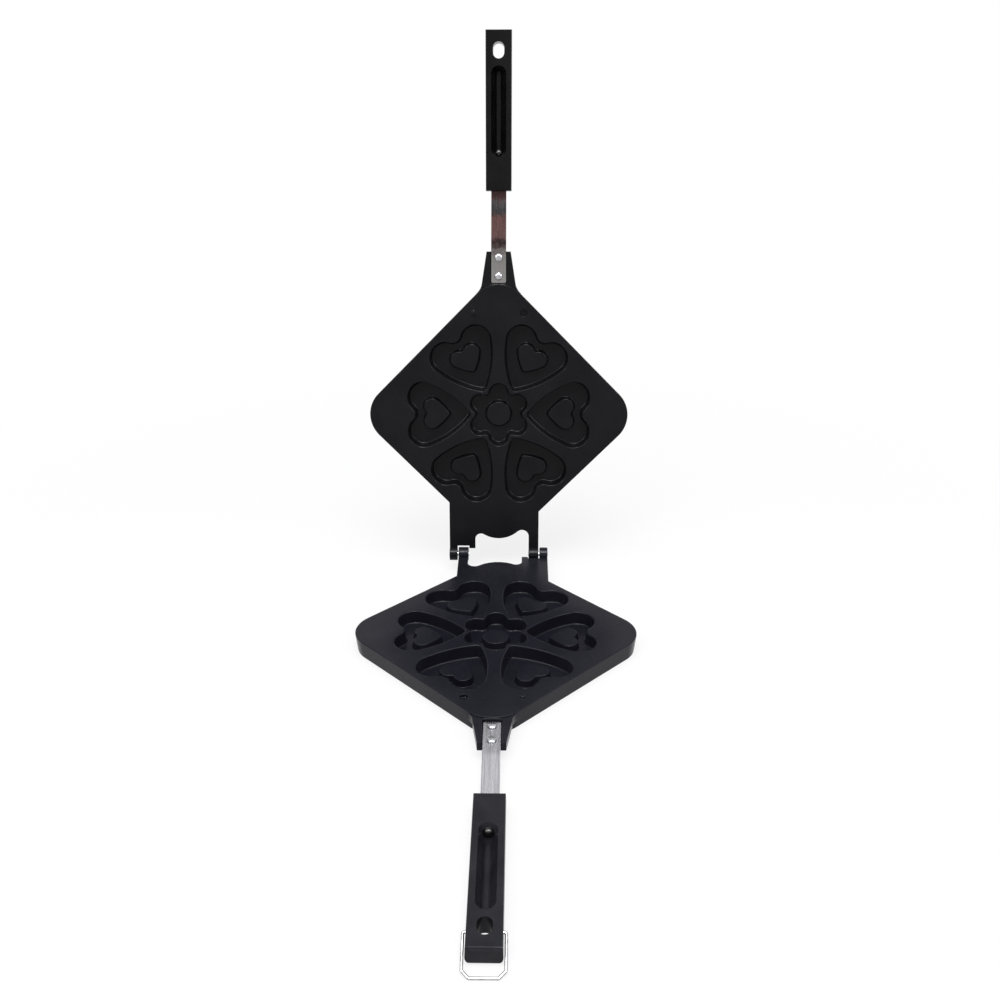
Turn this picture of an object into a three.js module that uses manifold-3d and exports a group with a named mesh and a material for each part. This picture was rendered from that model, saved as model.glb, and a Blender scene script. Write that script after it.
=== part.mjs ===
// Stovetop waffle iron: two equal cast plates with heart moulds, hinged on two
// short pins, each with a riveted strap and a moulded handle, and a wire bail
// that latches the handles together. Millimetres, +Z up.
//
// Each half is drawn with its mating face up and its handle along +Y, measured
// from the hinge axis. The upper half is the lower one turned over and opened.
import * as THREE from 'three';
import { mergeVertices } from 'three/addons/utils/BufferGeometryUtils.js';
import Module from 'manifold-3d';

const wasm = await Module();
wasm.setup();

// Pose shown: the angle between the mating faces.
const openAngleDegrees = 101.5;

// Clearances.
const seatGap = 0.3;
const matingGap = 0.3;
const overrun = 5;

// Plate casting. Its side follows from the moulds and the margin around them,
// and its middle from the gap between the hinge axis and its round corner.
const plateCorners = 4;
const mouldEdgeMargin = 6;
const plateCornerRadius = 30;
const plateThickness = 17.8;
const lugReach = 16.4;
const plateEdgeRounding = 0.7;
const plateRimRounding = 1;
const plateDraft = 1.6;
const rimThickness = 2.6;
const skinThickness = 3.6;
const coringDraft = 1.2;

// Flower mould in the middle.
const petalCount = 6;
const petalReach = 21.6;
const petalRadius = 11.2;
const petalValleyRadius = 2.5;
const flowerIslandRadius = 12.2;

// Heart moulds around it, tips inwards.
const heartCount = 6;
const heartFlowerGap = 2.9;
const heartTipRadius = 6;
const heartLobeFromTip = 42.5;
const heartLobeOffset = 17.5;
const heartLobeRadius = 16.9;
const heartNotchRadius = 7;
const heartSideRadius = 100;

// Small hearts that stand in the moulds.
const islandLobeSetback = 8.2;
const islandLobeFromTip = 15.2;
const islandLobeOffset = 7.6;
const islandLobeRadius = 8;
const islandNotchRadius = 4;
const islandTipRadius = 2.6;
const islandSideRadius = 60;

// Depths shared by all moulds.
const mouldDepth = 12.4;
const mouldEdgeRounding = 1.1;
const mouldDraft = 2.3;
const mouldFloorThickness = 3.2;
const mouldWall = 2.8;
const islandDepth = 5.9;
const islandDraft = 1.1;

// Locating peg and socket beside the neck.
const locatorOffset = 24.8;
const locatorEdgeDistance = 11.2;
const pegRadius = 2.6;
const pegHeight = 2.2;
const pegRounding = 0.8;
const pegSideGap = 0.9;
const pegEndGap = 0.8;

// Hinge lug, knuckles and pins, measured from the plate's long axis.
const knuckleRadius = 6.9;
const innerKnuckleInside = 31.2;
const innerKnuckleWidth = 10.2;
const knuckleSideGap = 1.2;
const outerKnuckleWidth = 8.2;
const stubWidth = 6.4;
const stubSideGap = 0.7;
const stubReach = 5.6;
const armScallopRadius = 6.9;
const stubScallopRadius = 5.8;
const lugOverlap = 8;
const knuckleBackGap = 1.5;
const pinRadius = 2.2;
const pinStandOut = 0.5;
const pinChamfer = 0.4;

// Neck tongue that carries the strap in a channel.
const neckEndHalfWidth = 11.8;
const neckRootHalfWidth = 16.8;
const neckTaperLength = 32;
const neckFilletReach = 4.6;
const neckOverlap = 10;
const neckStepDown = 1.15;
const neckUnderside = 9.5;
const neckEndFromRivet = 5.7;
const channelSideGap = 0.8;

// Strap.
const strapWidth = 14.6;
const strapThickness = 2;
const strapDepth = 3.5;
const strapEndGap = 0.7;
const strapSpan = 56.6;
const strapBendFromNeck = 9.5;
const strapBendLength = 4;
const strapTangBendBack = 4.6;
const strapCornerRadius = 1.5;

// Rivets.
const rivetFromStrapEnd = 6.4;
const rivetPitch = 18;
const rivetShankRadius = 2;
const rivetHeadRadius = 3.8;
const rivetHeadHeight = 1.9;
const rivetClinchRadius = 3.4;
const rivetClinchHeight = 1.5;

// Handle, a little narrower and shorter at its mating face.
const handleWidth = 25.6;
const handleDraft = 0.6;
const handleFloorThickness = 4;
const handleFaceDepth = 2.6;
const handleOuterRounding = 6;
const handleFaceRounding = 1;
const handleCornerRadius = 1.8;
const handleEndRounding = 2.5;
const handleStartRounding = 3;

// Slot and hang hole in the handle, and the round trough along the slot's floor.
const slotSetback = 31.8;
const slotLength = 82;
const slotWidth = 14.4;
const slotDepth = 5.2;
const troughSideGap = 0.4;
const hangHoleSetback = 6;
const hangHoleLength = 15;
const hangHoleWidth = 10.6;
const hangHoleEndWall = 11;

// Screw, washer and nut that hold the handle on the strap.
const screwDepth = 5.6;
const screwRadius = 1.75;
const screwHeadRadius = 3.4;
const screwHeadHeight = 2.6;
const screwRecessDepth = 1.3;
const washerRim = 0.4;
const washerThickness = 0.9;
const nutWall = 0.7;
const nutThickness = 2.6;
const screwStandOut = 1;
const socketEndWall = 4.6;
const socketWall = 0.3;

// Wire bail.
const wireRadius = 1.1;
const bailPivotBack = 15.6;
const bailPivotDepth = 3;
const bailSideGap = 0.3;
const bailTipDepth = 4.2;
const bailChamfer = 4.6;
const bailBend = 1.4;
const bailPassGap = 1;
const bailFloorGap = 0.1;

// Counts of facets.
const tipSteps = 3;
const sideSteps = 4;
const valleySteps = 3;
const notchSteps = 2;
const domeSteps = 3;
const bendSteps = 3;
const arcSteps = 6;
const fineArcSteps = 9;
const roundSides = 20;
const smallRoundSides = 14;
const hubSides = 32;
const wireHalfSides = 4;
const wireSteps = 64;

// Moulds, from the flower outwards. The valleys between the petals come nearest
// to the hearts' tips.
const petalHalfPitch = Math.PI / petalCount;
const petalAside = petalReach * Math.sin(petalHalfPitch);
const valleyApart = petalRadius + petalValleyRadius;
const valleyReach = petalReach * Math.cos(petalHalfPitch)
  + Math.sqrt(valleyApart * valleyApart - petalAside * petalAside);
const heartTipReach = valleyReach - petalValleyRadius + heartFlowerGap + heartTipRadius;
const heartLobeReach = heartTipReach + heartLobeFromTip;
const islandLobeReach = heartLobeReach - islandLobeSetback;
const islandTipReach = islandLobeReach - islandLobeFromTip;
const heartTurns = Array.from(
  { length: heartCount },
  (_, index) => (2 * Math.PI * index) / heartCount - Math.PI / 2,
);
const mouldReach = Math.max(...heartTurns.map((turn) => lobeReachTowardsEdge(turn)));

// Plate, lug and locators.
const matingFace = -matingGap / 2;
const plateUnderside = -plateThickness;
const plateHalfSide = mouldReach + mouldEdgeMargin;
const plateHalfDiagonal = plateHalfSide * Math.SQRT2;
const cornerOffset = plateHalfDiagonal - plateCornerRadius * Math.SQRT2;
const plateMiddle = lugReach + plateCornerRadius + cornerOffset;
const plateReach = plateMiddle + cornerOffset + plateCornerRadius;
const innerKnuckleOutside = innerKnuckleInside + innerKnuckleWidth;
const outerKnuckleInside = innerKnuckleOutside + knuckleSideGap;
const outerKnuckleOutside = outerKnuckleInside + outerKnuckleWidth;
const stubOutside = innerKnuckleInside - stubSideGap;
const stubInside = stubOutside - stubWidth;
const notchReach = knuckleRadius + knuckleBackGap;
const socketRadius = pegRadius + pegSideGap;
const socketDepth = pegHeight + pegEndGap;
const locatorReach = plateMiddle - locatorOffset
  + (plateHalfSide - locatorEdgeDistance) * Math.SQRT2;

// Neck, strap and rivets, from the plate's round corner outwards.
const neckTop = matingFace - neckStepDown;
const channelHalfWidth = strapWidth / 2 + channelSideGap;
const channelStart = plateReach;
const strapStart = channelStart + strapEndGap;
const innerRivetReach = strapStart + rivetFromStrapEnd;
const outerRivetReach = innerRivetReach + rivetPitch;
const neckReach = outerRivetReach + neckEndFromRivet;
const neckRootReach = neckReach - neckTaperLength;
const strapBendReach = neckReach + strapBendFromNeck;
const strapTop = -strapDepth;
const strapUnderside = strapTop - strapThickness;
const channelFloor = strapUnderside - seatGap;

// Handle and its fixing, from the strap's end outwards.
const washerRadius = screwHeadRadius + washerRim;
const troughRadius = washerRadius + troughSideGap;
const slotWallRun = slotWidth / 2 - troughRadius;
const nutHalfSide = screwRadius + seatGap + nutWall;
const handleStart = neckReach + strapSpan;
const slotStart = handleStart + slotSetback;
const slotEnd = slotStart + slotLength;
const hangHoleStart = slotEnd + hangHoleSetback;
const handleEnd = hangHoleStart + hangHoleLength + hangHoleEndWall;
const handleTop = -handleFaceDepth;
const screwAxis = handleTop - screwDepth;
const screwSeat = slotStart + slotWallRun;
const socketEnd = screwSeat - socketEndWall;
const tabOutside = socketEnd - seatGap;
const tabInside = tabOutside - strapThickness;
const nutOutside = tabInside - seatGap;
const nutInside = nutOutside - nutThickness;
const tangTop = screwAxis - nutHalfSide - seatGap;
const tangUnderside = tangTop - strapThickness;
const handleUnderside = tangUnderside - socketWall - handleFloorThickness;
const tabTop = screwAxis + nutHalfSide;
const washerOutside = screwSeat + seatGap + washerThickness;
const screwHeadSeat = washerOutside + seatGap;
const bailPivotReach = handleEnd - bailPivotBack;
const bailPivotHeight = handleTop - bailPivotDepth;
const bailHalfWidth = handleWidth / 2 + bailSideGap + wireRadius;
const bailTipOffset = handleWidth / 2 - bailTipDepth;

// The bail has to swing past the rounded end of the other handle when shut.
const shutCornerReach = handleEnd - handleEndRounding;
const shutCornerHeight = -handleUnderside - handleEndRounding;
const shutCornerDistance = Math.hypot(
  shutCornerReach - bailPivotReach,
  shutCornerHeight - bailPivotHeight,
);
const bailLeg = shutCornerDistance + handleEndRounding + wireRadius + bailPassGap;
const bailDrop = bailPivotHeight - plateUnderside - wireRadius - bailFloorGap;
const bailDroop = Math.asin(bailDrop / bailLeg);

// Materials.
const lowerCoating = 0x2a2a2e;
const upperCoating = 0x1d1d20;
const castingFinish = (color) =>
  new THREE.MeshStandardMaterial({ color, roughness: 0.5, metalness: 0.15 });
const steelFinish = () =>
  new THREE.MeshStandardMaterial({ color: 0xc9c9cf, roughness: 0.28, metalness: 1 });
const chromeFinish = () =>
  new THREE.MeshStandardMaterial({ color: 0xdfe0e4, roughness: 0.12, metalness: 1 });
const handleFinish = () =>
  new THREE.MeshStandardMaterial({ color: 0x242428, roughness: 0.45, metalness: 0 });

// A closed mesh geometry as a solid that can be joined and cut.
function solid(geometry) {
  const bare = geometry.index ? geometry.toNonIndexed() : geometry.clone();
  bare.deleteAttribute('normal');
  bare.deleteAttribute('uv');
  const merged = mergeVertices(bare);
  const corners = merged.index.array;
  const kept = [];
  for (let first = 0; first < corners.length; first += 3) {
    const [a, b, c] = corners.slice(first, first + 3);
    if (a !== b && b !== c && c !== a) kept.push(a, b, c);
  }
  return new wasm.Manifold(new wasm.Mesh({
    numProp: 3,
    vertProperties: new Float32Array(merged.attributes.position.array),
    triVerts: new Uint32Array(kept),
  }));
}

function geometryOf(body) {
  const result = body.getMesh();
  const geometry = new THREE.BufferGeometry();
  const positions = new Float32Array(result.vertProperties);
  geometry.setAttribute('position', new THREE.BufferAttribute(positions, result.numProp));
  geometry.setIndex(new THREE.BufferAttribute(new Uint32Array(result.triVerts), 1));
  geometry.computeVertexNormals();
  return geometry;
}

function piece(name, body, material) {
  const mesh = new THREE.Mesh(geometryOf(body), material);
  mesh.name = name;
  return mesh;
}

const joined = (bodies) => bodies.reduce((sum, body) => sum.add(body));
const cut = (body, tools) => tools.reduce((rest, tool) => rest.subtract(tool), body);

// A closed skin through outlines with equal point counts, lowest outline first.
function loft(levels) {
  const count = levels[0].outline.length;
  const positions = levels.flatMap(({ outline, height }) =>
    outline.flatMap((point) => [point.x, point.y, height]));
  const indices = [];
  for (let level = 0; level < levels.length - 1; level += 1) {
    for (let step = 0; step < count; step += 1) {
      const here = level * count + step;
      const next = level * count + ((step + 1) % count);
      indices.push(here, next, next + count);
      indices.push(here, next + count, here + count);
    }
  }
  const cap = (outline, first, flip) => {
    for (const [a, b, c] of THREE.ShapeUtils.triangulateShape(outline, [])) {
      indices.push(first + a, first + (flip ? c : b), first + (flip ? b : c));
    }
  };
  cap(levels[0].outline, 0, true);
  cap(levels[levels.length - 1].outline, (levels.length - 1) * count, false);
  const geometry = new THREE.BufferGeometry();
  geometry.setAttribute('position', new THREE.Float32BufferAttribute(positions, 3));
  geometry.setIndex(indices);
  return solid(geometry);
}

// An outline in plan, standing from one height up to another.
function prism(shape, low, high, curveSegments = arcSteps) {
  const geometry = new THREE.ExtrudeGeometry(shape, {
    depth: high - low,
    bevelEnabled: false,
    curveSegments,
  });
  geometry.translate(0, 0, low);
  return solid(geometry);
}

// A section in X and Z, carried along Y from one reach to another.
function carriedAlong(shape, from, to) {
  const geometry = new THREE.ExtrudeGeometry(shape, {
    depth: to - from,
    bevelEnabled: false,
    curveSegments: arcSteps,
  });
  geometry.rotateX(Math.PI / 2);
  geometry.translate(0, to, 0);
  return solid(geometry);
}

// A side view in Y and Z, carried across X to both sides of the middle.
function carriedAcross(shape, width) {
  const geometry = new THREE.ExtrudeGeometry(shape, {
    depth: width,
    bevelEnabled: false,
    curveSegments: arcSteps,
  });
  geometry.translate(0, 0, -width / 2);
  geometry.rotateX(Math.PI / 2);
  geometry.rotateZ(Math.PI / 2);
  return solid(geometry);
}

// A turned form about the Y axis, from pairs of radius and reach.
function turned(profile, sides = smallRoundSides) {
  const points = profile.map(([radius, reach]) => new THREE.Vector2(radius, reach));
  return new THREE.LatheGeometry(points, sides);
}

function rod(radius, length, sides) {
  return turned([[0, 0], [radius, 0], [radius, length], [0, length]], sides);
}

// A rod along X between two places.
function rodAcross(radius, from, to, y, z, sides = roundSides) {
  const geometry = rod(radius, to - from, sides);
  geometry.rotateZ(-Math.PI / 2);
  geometry.translate(from, y, z);
  return solid(geometry);
}

// A rod along Y between two reaches.
function rodAlong(radius, from, to, z, sides = smallRoundSides) {
  const geometry = rod(radius, to - from, sides);
  geometry.translate(0, from, z);
  return solid(geometry);
}

// An upright rod between two heights.
function rodUpright(radius, x, y, low, high, sides = smallRoundSides) {
  const geometry = rod(radius, high - low, sides);
  geometry.rotateX(Math.PI / 2);
  geometry.translate(x, y, low);
  return solid(geometry);
}

// A box from its lowest and highest corners.
function block(low, high) {
  const size = high.map((value, axis) => value - low[axis]);
  const geometry = new THREE.BoxGeometry(...size);
  geometry.translate(...high.map((value, axis) => (value + low[axis]) / 2));
  return solid(geometry);
}

// Points on an arc, both ends included.
function arc(centre, radius, from, to, steps) {
  const points = [];
  for (let step = 0; step <= steps; step += 1) {
    const angle = from + ((to - from) * step) / steps;
    points.push(new THREE.Vector2(
      centre.x + radius * Math.cos(angle),
      centre.y + radius * Math.sin(angle),
    ));
  }
  return points;
}

// The square turned onto its corner, with round corners, drawn in by an inset.
function plateOutline(inset) {
  const quarter = (2 * Math.PI) / plateCorners;
  const points = [];
  for (let corner = 0; corner < plateCorners; corner += 1) {
    const turn = corner * quarter;
    const centre = new THREE.Vector2(cornerOffset, 0).rotateAround(new THREE.Vector2(), turn);
    const radius = plateCornerRadius - inset;
    points.push(...arc(centre, radius, turn - quarter / 2, turn + quarter / 2, fineArcSteps));
  }
  return points.map((point) => point.add(new THREE.Vector2(0, plateMiddle)));
}

// A heart with its tip towards the plate's middle, on the +Y side of it, grown
// outwards by an offset. Every stretch is an arc: tip, side, lobe and notch.
function heartOutline(form, grow) {
  const lobe = new THREE.Vector2(form.lobeOffset, form.lobeReach);
  const tip = new THREE.Vector2(0, form.tipReach);
  const fromLobe = form.sideRadius - form.lobeRadius;
  const fromTip = form.sideRadius - form.tipRadius;
  const apart = lobe.distanceTo(tip);
  const along = (apart * apart + fromTip * fromTip - fromLobe * fromLobe) / (2 * apart);
  const across = Math.sqrt(fromTip * fromTip - along * along);
  const axis = lobe.clone().sub(tip).normalize();
  const side = new THREE.Vector2(
    tip.x + axis.x * along - axis.y * across,
    tip.y + axis.y * along + axis.x * across,
  );
  const notchApart = form.lobeRadius + form.notchRadius;
  const notch = new THREE.Vector2(
    0,
    lobe.y + Math.sqrt(notchApart * notchApart - lobe.x * lobe.x),
  );
  const tipEnd = Math.atan2(tip.y - side.y, tip.x - side.x);
  const lobeStart = Math.atan2(lobe.y - side.y, lobe.x - side.x);
  const lobeEnd = Math.atan2(notch.y - lobe.y, notch.x - lobe.x);
  const notchStart = lobeEnd - Math.PI;
  const half = [
    ...arc(tip, form.tipRadius + grow, -Math.PI / 2, tipEnd, tipSteps),
    ...arc(side, form.sideRadius + grow, tipEnd, lobeStart, sideSteps).slice(1),
    ...arc(lobe, form.lobeRadius + grow, lobeStart, lobeEnd, fineArcSteps).slice(1),
    ...arc(notch, form.notchRadius - grow, notchStart, -Math.PI / 2, notchSteps).slice(1),
  ];
  const mirrored = half.slice(1, -1).reverse();
  return [...half, ...mirrored.map((point) => new THREE.Vector2(-point.x, point.y))];
}

const mouldHeart = {
  lobeOffset: heartLobeOffset,
  lobeReach: heartLobeReach,
  lobeRadius: heartLobeRadius,
  notchRadius: heartNotchRadius,
  tipReach: heartTipReach,
  tipRadius: heartTipRadius,
  sideRadius: heartSideRadius,
};

const islandHeart = {
  lobeOffset: islandLobeOffset,
  lobeReach: islandLobeReach,
  lobeRadius: islandLobeRadius,
  notchRadius: islandNotchRadius,
  tipReach: islandTipReach,
  tipRadius: islandTipRadius,
  sideRadius: islandSideRadius,
};

// How far a heart's lobes reach from the plate's middle towards a straight edge.
function lobeReachTowardsEdge(turn) {
  const reaches = [-heartLobeOffset, heartLobeOffset].map((offset) => {
    const lobe = new THREE.Vector2(offset, heartLobeReach);
    lobe.rotateAround(new THREE.Vector2(), turn);
    return (Math.abs(lobe.x) + Math.abs(lobe.y)) / Math.SQRT2;
  });
  return Math.max(...reaches) + heartLobeRadius;
}

// The flower: a ring of round petals with rounded valleys between them.
function flowerOutline(grow) {
  const middle = new THREE.Vector2();
  const points = [];
  for (let petal = 0; petal < petalCount; petal += 1) {
    const petalTurn = petalHalfPitch * (2 * petal + 1);
    const valleyTurn = petalTurn + petalHalfPitch;
    const centre = new THREE.Vector2(petalReach, 0).rotateAround(middle, petalTurn);
    const valley = new THREE.Vector2(valleyReach, 0).rotateAround(middle, valleyTurn);
    const towardsValley = valley.clone().sub(centre).normalize();
    const halfPetal = Math.acos(towardsValley.dot(centre.clone().normalize()));
    const valleyStart = petalTurn + halfPetal + Math.PI;
    const valleyEnd = 2 * (valleyTurn + Math.PI) - valleyStart;
    const petalStart = petalTurn - halfPetal;
    const petalEnd = petalTurn + halfPetal;
    const petalArc = arc(centre, petalRadius + grow, petalStart, petalEnd, arcSteps);
    const valleyArc = arc(
      valley,
      petalValleyRadius - grow,
      valleyStart,
      valleyEnd,
      valleySteps,
    );
    points.push(...petalArc, ...valleyArc.slice(1, -1));
  }
  return points;
}

// Moves an outline drawn about the plate's middle to its place on the plate.
function onPlate(outline, turn = 0) {
  const middle = new THREE.Vector2();
  const shift = new THREE.Vector2(0, plateMiddle);
  return outline.map((point) => point.clone().rotateAround(middle, turn).add(shift));
}

// The hollow of a mould: a rounded mouth and drafted walls down to the floor.
function mouldHollow(outlineAt, turn) {
  const floor = matingFace - mouldDepth;
  const edge = matingFace - mouldEdgeRounding;
  return loft([
    { outline: onPlate(outlineAt(-mouldDraft), turn), height: floor },
    { outline: onPlate(outlineAt(-mouldEdgeRounding), turn), height: edge },
    { outline: onPlate(outlineAt(0), turn), height: matingFace },
    { outline: onPlate(outlineAt(0), turn), height: matingFace + overrun },
  ]);
}

// The small form that stands on a mould's floor.
function mouldIsland(outlineAt, turn) {
  const root = matingFace - mouldDepth - mouldFloorThickness / 2;
  return loft([
    { outline: onPlate(outlineAt(islandDraft), turn), height: root },
    { outline: onPlate(outlineAt(0), turn), height: matingFace - islandDepth },
  ]);
}

const heartAt = (grow) => heartOutline(mouldHeart, grow);
const heartIslandAt = (grow) => heartOutline(islandHeart, grow);
const flowerIslandAt = (grow) =>
  arc(new THREE.Vector2(), flowerIslandRadius + grow, 0, 2 * Math.PI, roundSides).slice(0, -1);

// The backs of the moulds, which show as bosses in the hollow underside.
function mouldBacks() {
  const low = matingFace - mouldDepth - mouldFloorThickness;
  const high = matingFace - skinThickness / 2;
  const hubRadius = petalReach + petalRadius + mouldWall;
  const hub = rodUpright(hubRadius, 0, plateMiddle, low, high, hubSides);
  const backs = heartTurns.map((turn) => loft([
    { outline: onPlate(heartAt(mouldWall - mouldDraft), turn), height: low },
    { outline: onPlate(heartAt(mouldWall), turn), height: high },
  ]));
  return joined([hub, ...backs]);
}

// The plate's outer body, solid, before the moulds and the coring are cut.
function plateBody() {
  const draftAt = (height) => (plateDraft * (matingFace - height)) / (plateThickness + matingFace);
  const rim = plateUnderside + plateRimRounding;
  const edge = matingFace - plateEdgeRounding;
  return loft([
    { outline: plateOutline(plateDraft + plateRimRounding), height: plateUnderside },
    { outline: plateOutline(draftAt(rim)), height: rim },
    { outline: plateOutline(draftAt(edge)), height: edge },
    { outline: plateOutline(plateEdgeRounding), height: matingFace },
  ]);
}

// The hollow under the skin, inside the skirt, less the backs of the moulds.
function plateCoring() {
  const rimInside = plateDraft + rimThickness;
  const hollow = loft([
    { outline: plateOutline(rimInside), height: plateUnderside - overrun },
    { outline: plateOutline(rimInside), height: plateUnderside },
    { outline: plateOutline(rimInside + coringDraft), height: matingFace - skinThickness },
  ]);
  return hollow.subtract(mouldBacks());
}

// The arc of a scallop between an upright edge of the lug and the plate's round
// corner. It touches both, and runs from the edge to the corner.
function scallop(edge, radius) {
  const cornerReach = plateMiddle - cornerOffset;
  const x = edge - radius;
  const apart = plateCornerRadius + radius;
  const centre = new THREE.Vector2(x, cornerReach - Math.sqrt(apart * apart - x * x));
  const towardsCorner = Math.atan2(cornerReach - centre.y, -centre.x);
  return arc(centre, radius, 0, towardsCorner, arcSteps);
}

// The hinge lug in plan: the inner knuckle's arm on the +X side, the outer
// knuckle, a notch and a stub on the -X side, and a scallop beside each.
function lugOutline() {
  const plateEdge = plateMiddle - plateHalfDiagonal;
  const mirrored = (points) => points.map((point) => new THREE.Vector2(-point.x, point.y));
  const points = [
    [innerKnuckleInside, 0],
    [innerKnuckleOutside, 0],
    [innerKnuckleOutside, plateEdge + innerKnuckleOutside + lugOverlap],
    [-outerKnuckleOutside, plateEdge + outerKnuckleOutside + lugOverlap],
    [-outerKnuckleOutside, 0],
    [-outerKnuckleInside, 0],
    [-outerKnuckleInside, notchReach],
    [-stubOutside, notchReach],
    [-stubOutside, stubReach],
    [-stubInside, stubReach],
  ].map(([x, y]) => new THREE.Vector2(x, y));
  return new THREE.Shape([
    ...points,
    ...mirrored(scallop(stubInside, stubScallopRadius)),
    ...scallop(innerKnuckleInside, armScallopRadius).reverse(),
  ]);
}

// The lug with its two knuckles, flush with their undersides.
function hingeLug() {
  return joined([
    prism(lugOutline(), -knuckleRadius, matingFace),
    rodAcross(knuckleRadius, innerKnuckleInside, innerKnuckleOutside, 0, 0),
    rodAcross(knuckleRadius, -outerKnuckleOutside, -outerKnuckleInside, 0, 0),
  ]);
}

// The neck in plan: a tapered tongue with a fillet to the plate's edges.
function neckOutline() {
  const plateEdge = plateMiddle + plateHalfDiagonal;
  const taper = (neckRootHalfWidth - neckEndHalfWidth) / (neckReach - neckRootReach);
  const cornerX = (neckRootHalfWidth + taper * (neckRootReach - plateEdge)) / (1 - taper);
  const cornerY = plateEdge - cornerX;
  const tangentX = cornerX + neckFilletReach;
  const tangentY = cornerY - neckFilletReach;
  const filletY = cornerY + neckFilletReach;
  const filletX = cornerX - taper * neckFilletReach;
  const shape = new THREE.Shape();
  shape.moveTo(neckEndHalfWidth, neckReach);
  shape.lineTo(-neckEndHalfWidth, neckReach);
  shape.lineTo(-filletX, filletY);
  shape.quadraticCurveTo(-cornerX, cornerY, -tangentX, tangentY);
  shape.lineTo(-tangentX, tangentY - neckOverlap);
  shape.lineTo(tangentX, tangentY - neckOverlap);
  shape.lineTo(tangentX, tangentY);
  shape.quadraticCurveTo(cornerX, cornerY, filletX, filletY);
  return shape;
}

// The locating peg and the socket that takes the other plate's peg.
function locatingPeg() {
  const low = matingFace - skinThickness / 2;
  const high = matingFace + pegHeight;
  const geometry = turned([
    [0, low],
    [pegRadius, low],
    [pegRadius, high - pegRounding],
    [pegRadius - pegRounding, high],
    [0, high],
  ]);
  geometry.rotateX(Math.PI / 2);
  geometry.translate(-locatorOffset, locatorReach, 0);
  return solid(geometry);
}

function locatingSocket() {
  const low = matingFace - socketDepth;
  return rodUpright(socketRadius, locatorOffset, locatorReach, low, matingFace + overrun);
}

// The holes for the rivets, through the neck and the strap.
function rivetHoles() {
  const radius = rivetShankRadius + seatGap;
  const low = -neckUnderside - overrun;
  return [innerRivetReach, outerRivetReach].map((reach) =>
    rodUpright(radius, 0, reach, low, overrun));
}

// One casting: plate, moulds, lug, neck, locators and all holes.
function casting() {
  const outside = joined([
    plateBody(),
    hingeLug(),
    prism(neckOutline(), -neckUnderside, neckTop),
  ]);
  const socketBoss = rodUpright(
    socketRadius + mouldWall,
    locatorOffset,
    locatorReach,
    matingFace - socketDepth - mouldWall,
    matingFace - skinThickness / 2,
  );
  const channel = block(
    [-channelHalfWidth, channelStart, channelFloor],
    [channelHalfWidth, neckReach + overrun, overrun],
  );
  const pinBore = rodAcross(
    pinRadius + seatGap,
    -outerKnuckleOutside - overrun,
    innerKnuckleOutside + overrun,
    0,
    0,
  );
  const cored = outside.subtract(plateCoring().subtract(socketBoss));
  const hollowed = cut(cored, [
    ...heartTurns.map((turn) => mouldHollow(heartAt, turn)),
    mouldHollow(flowerOutline, 0),
    locatingSocket(),
    channel,
    ...rivetHoles(),
    pinBore,
  ]);
  return joined([
    hollowed,
    ...heartTurns.map((turn) => mouldIsland(heartIslandAt, turn)),
    mouldIsland(flowerIslandAt, 0),
    locatingPeg(),
  ]);
}

// A band of even thickness about a line in side view.
function band(line, thickness) {
  const sides = [[], []];
  line.forEach((point, index) => {
    const before = line[Math.max(index - 1, 0)];
    const after = line[Math.min(index + 1, line.length - 1)];
    const along = after.clone().sub(before).normalize();
    const normal = new THREE.Vector2(-along.y, along.x);
    sides[0].push(point.clone().addScaledVector(normal, thickness / 2));
    sides[1].push(point.clone().addScaledVector(normal, -thickness / 2));
  });
  return new THREE.Shape([...sides[0], ...sides[1].reverse()]);
}

// The strap: flat on the neck, cranked down to the handle, and turned up at
// the end of its tang into a tab for the screw.
function strap() {
  const flat = strapTop - strapThickness / 2;
  const tang = tangTop - strapThickness / 2;
  const tab = tabOutside - strapThickness / 2;
  const tangBendReach = handleStart - strapTangBendBack;
  const slope = new THREE.Vector2(tangBendReach - strapBendReach, tang - flat).normalize();
  const line = new THREE.Path();
  line.moveTo(strapStart, flat);
  line.lineTo(strapBendReach - strapBendLength, flat);
  line.quadraticCurveTo(
    strapBendReach,
    flat,
    strapBendReach + strapBendLength * slope.x,
    flat + strapBendLength * slope.y,
  );
  line.lineTo(tangBendReach - strapBendLength * slope.x, tang - strapBendLength * slope.y);
  line.quadraticCurveTo(tangBendReach, tang, tangBendReach + strapBendLength, tang);
  line.lineTo(tab - strapThickness, tang);
  line.quadraticCurveTo(tab, tang, tab, tang + strapThickness);
  line.lineTo(tab, tabTop);
  const side = carriedAcross(band(line.getPoints(bendSteps), strapThickness), strapWidth);
  const half = strapWidth / 2;
  const outline = rounded([
    [-half, strapStart, strapCornerRadius],
    [half, strapStart, strapCornerRadius],
    [half, tabOutside + overrun, 0],
    [-half, tabOutside + overrun, 0],
  ]);
  const plan = prism(outline, tangUnderside - overrun, overrun);
  const screwHole = rodAlong(screwRadius + seatGap, nutOutside, socketEnd + overrun, screwAxis);
  return cut(side.intersect(plan), [...rivetHoles(), screwHole]);
}

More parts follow.
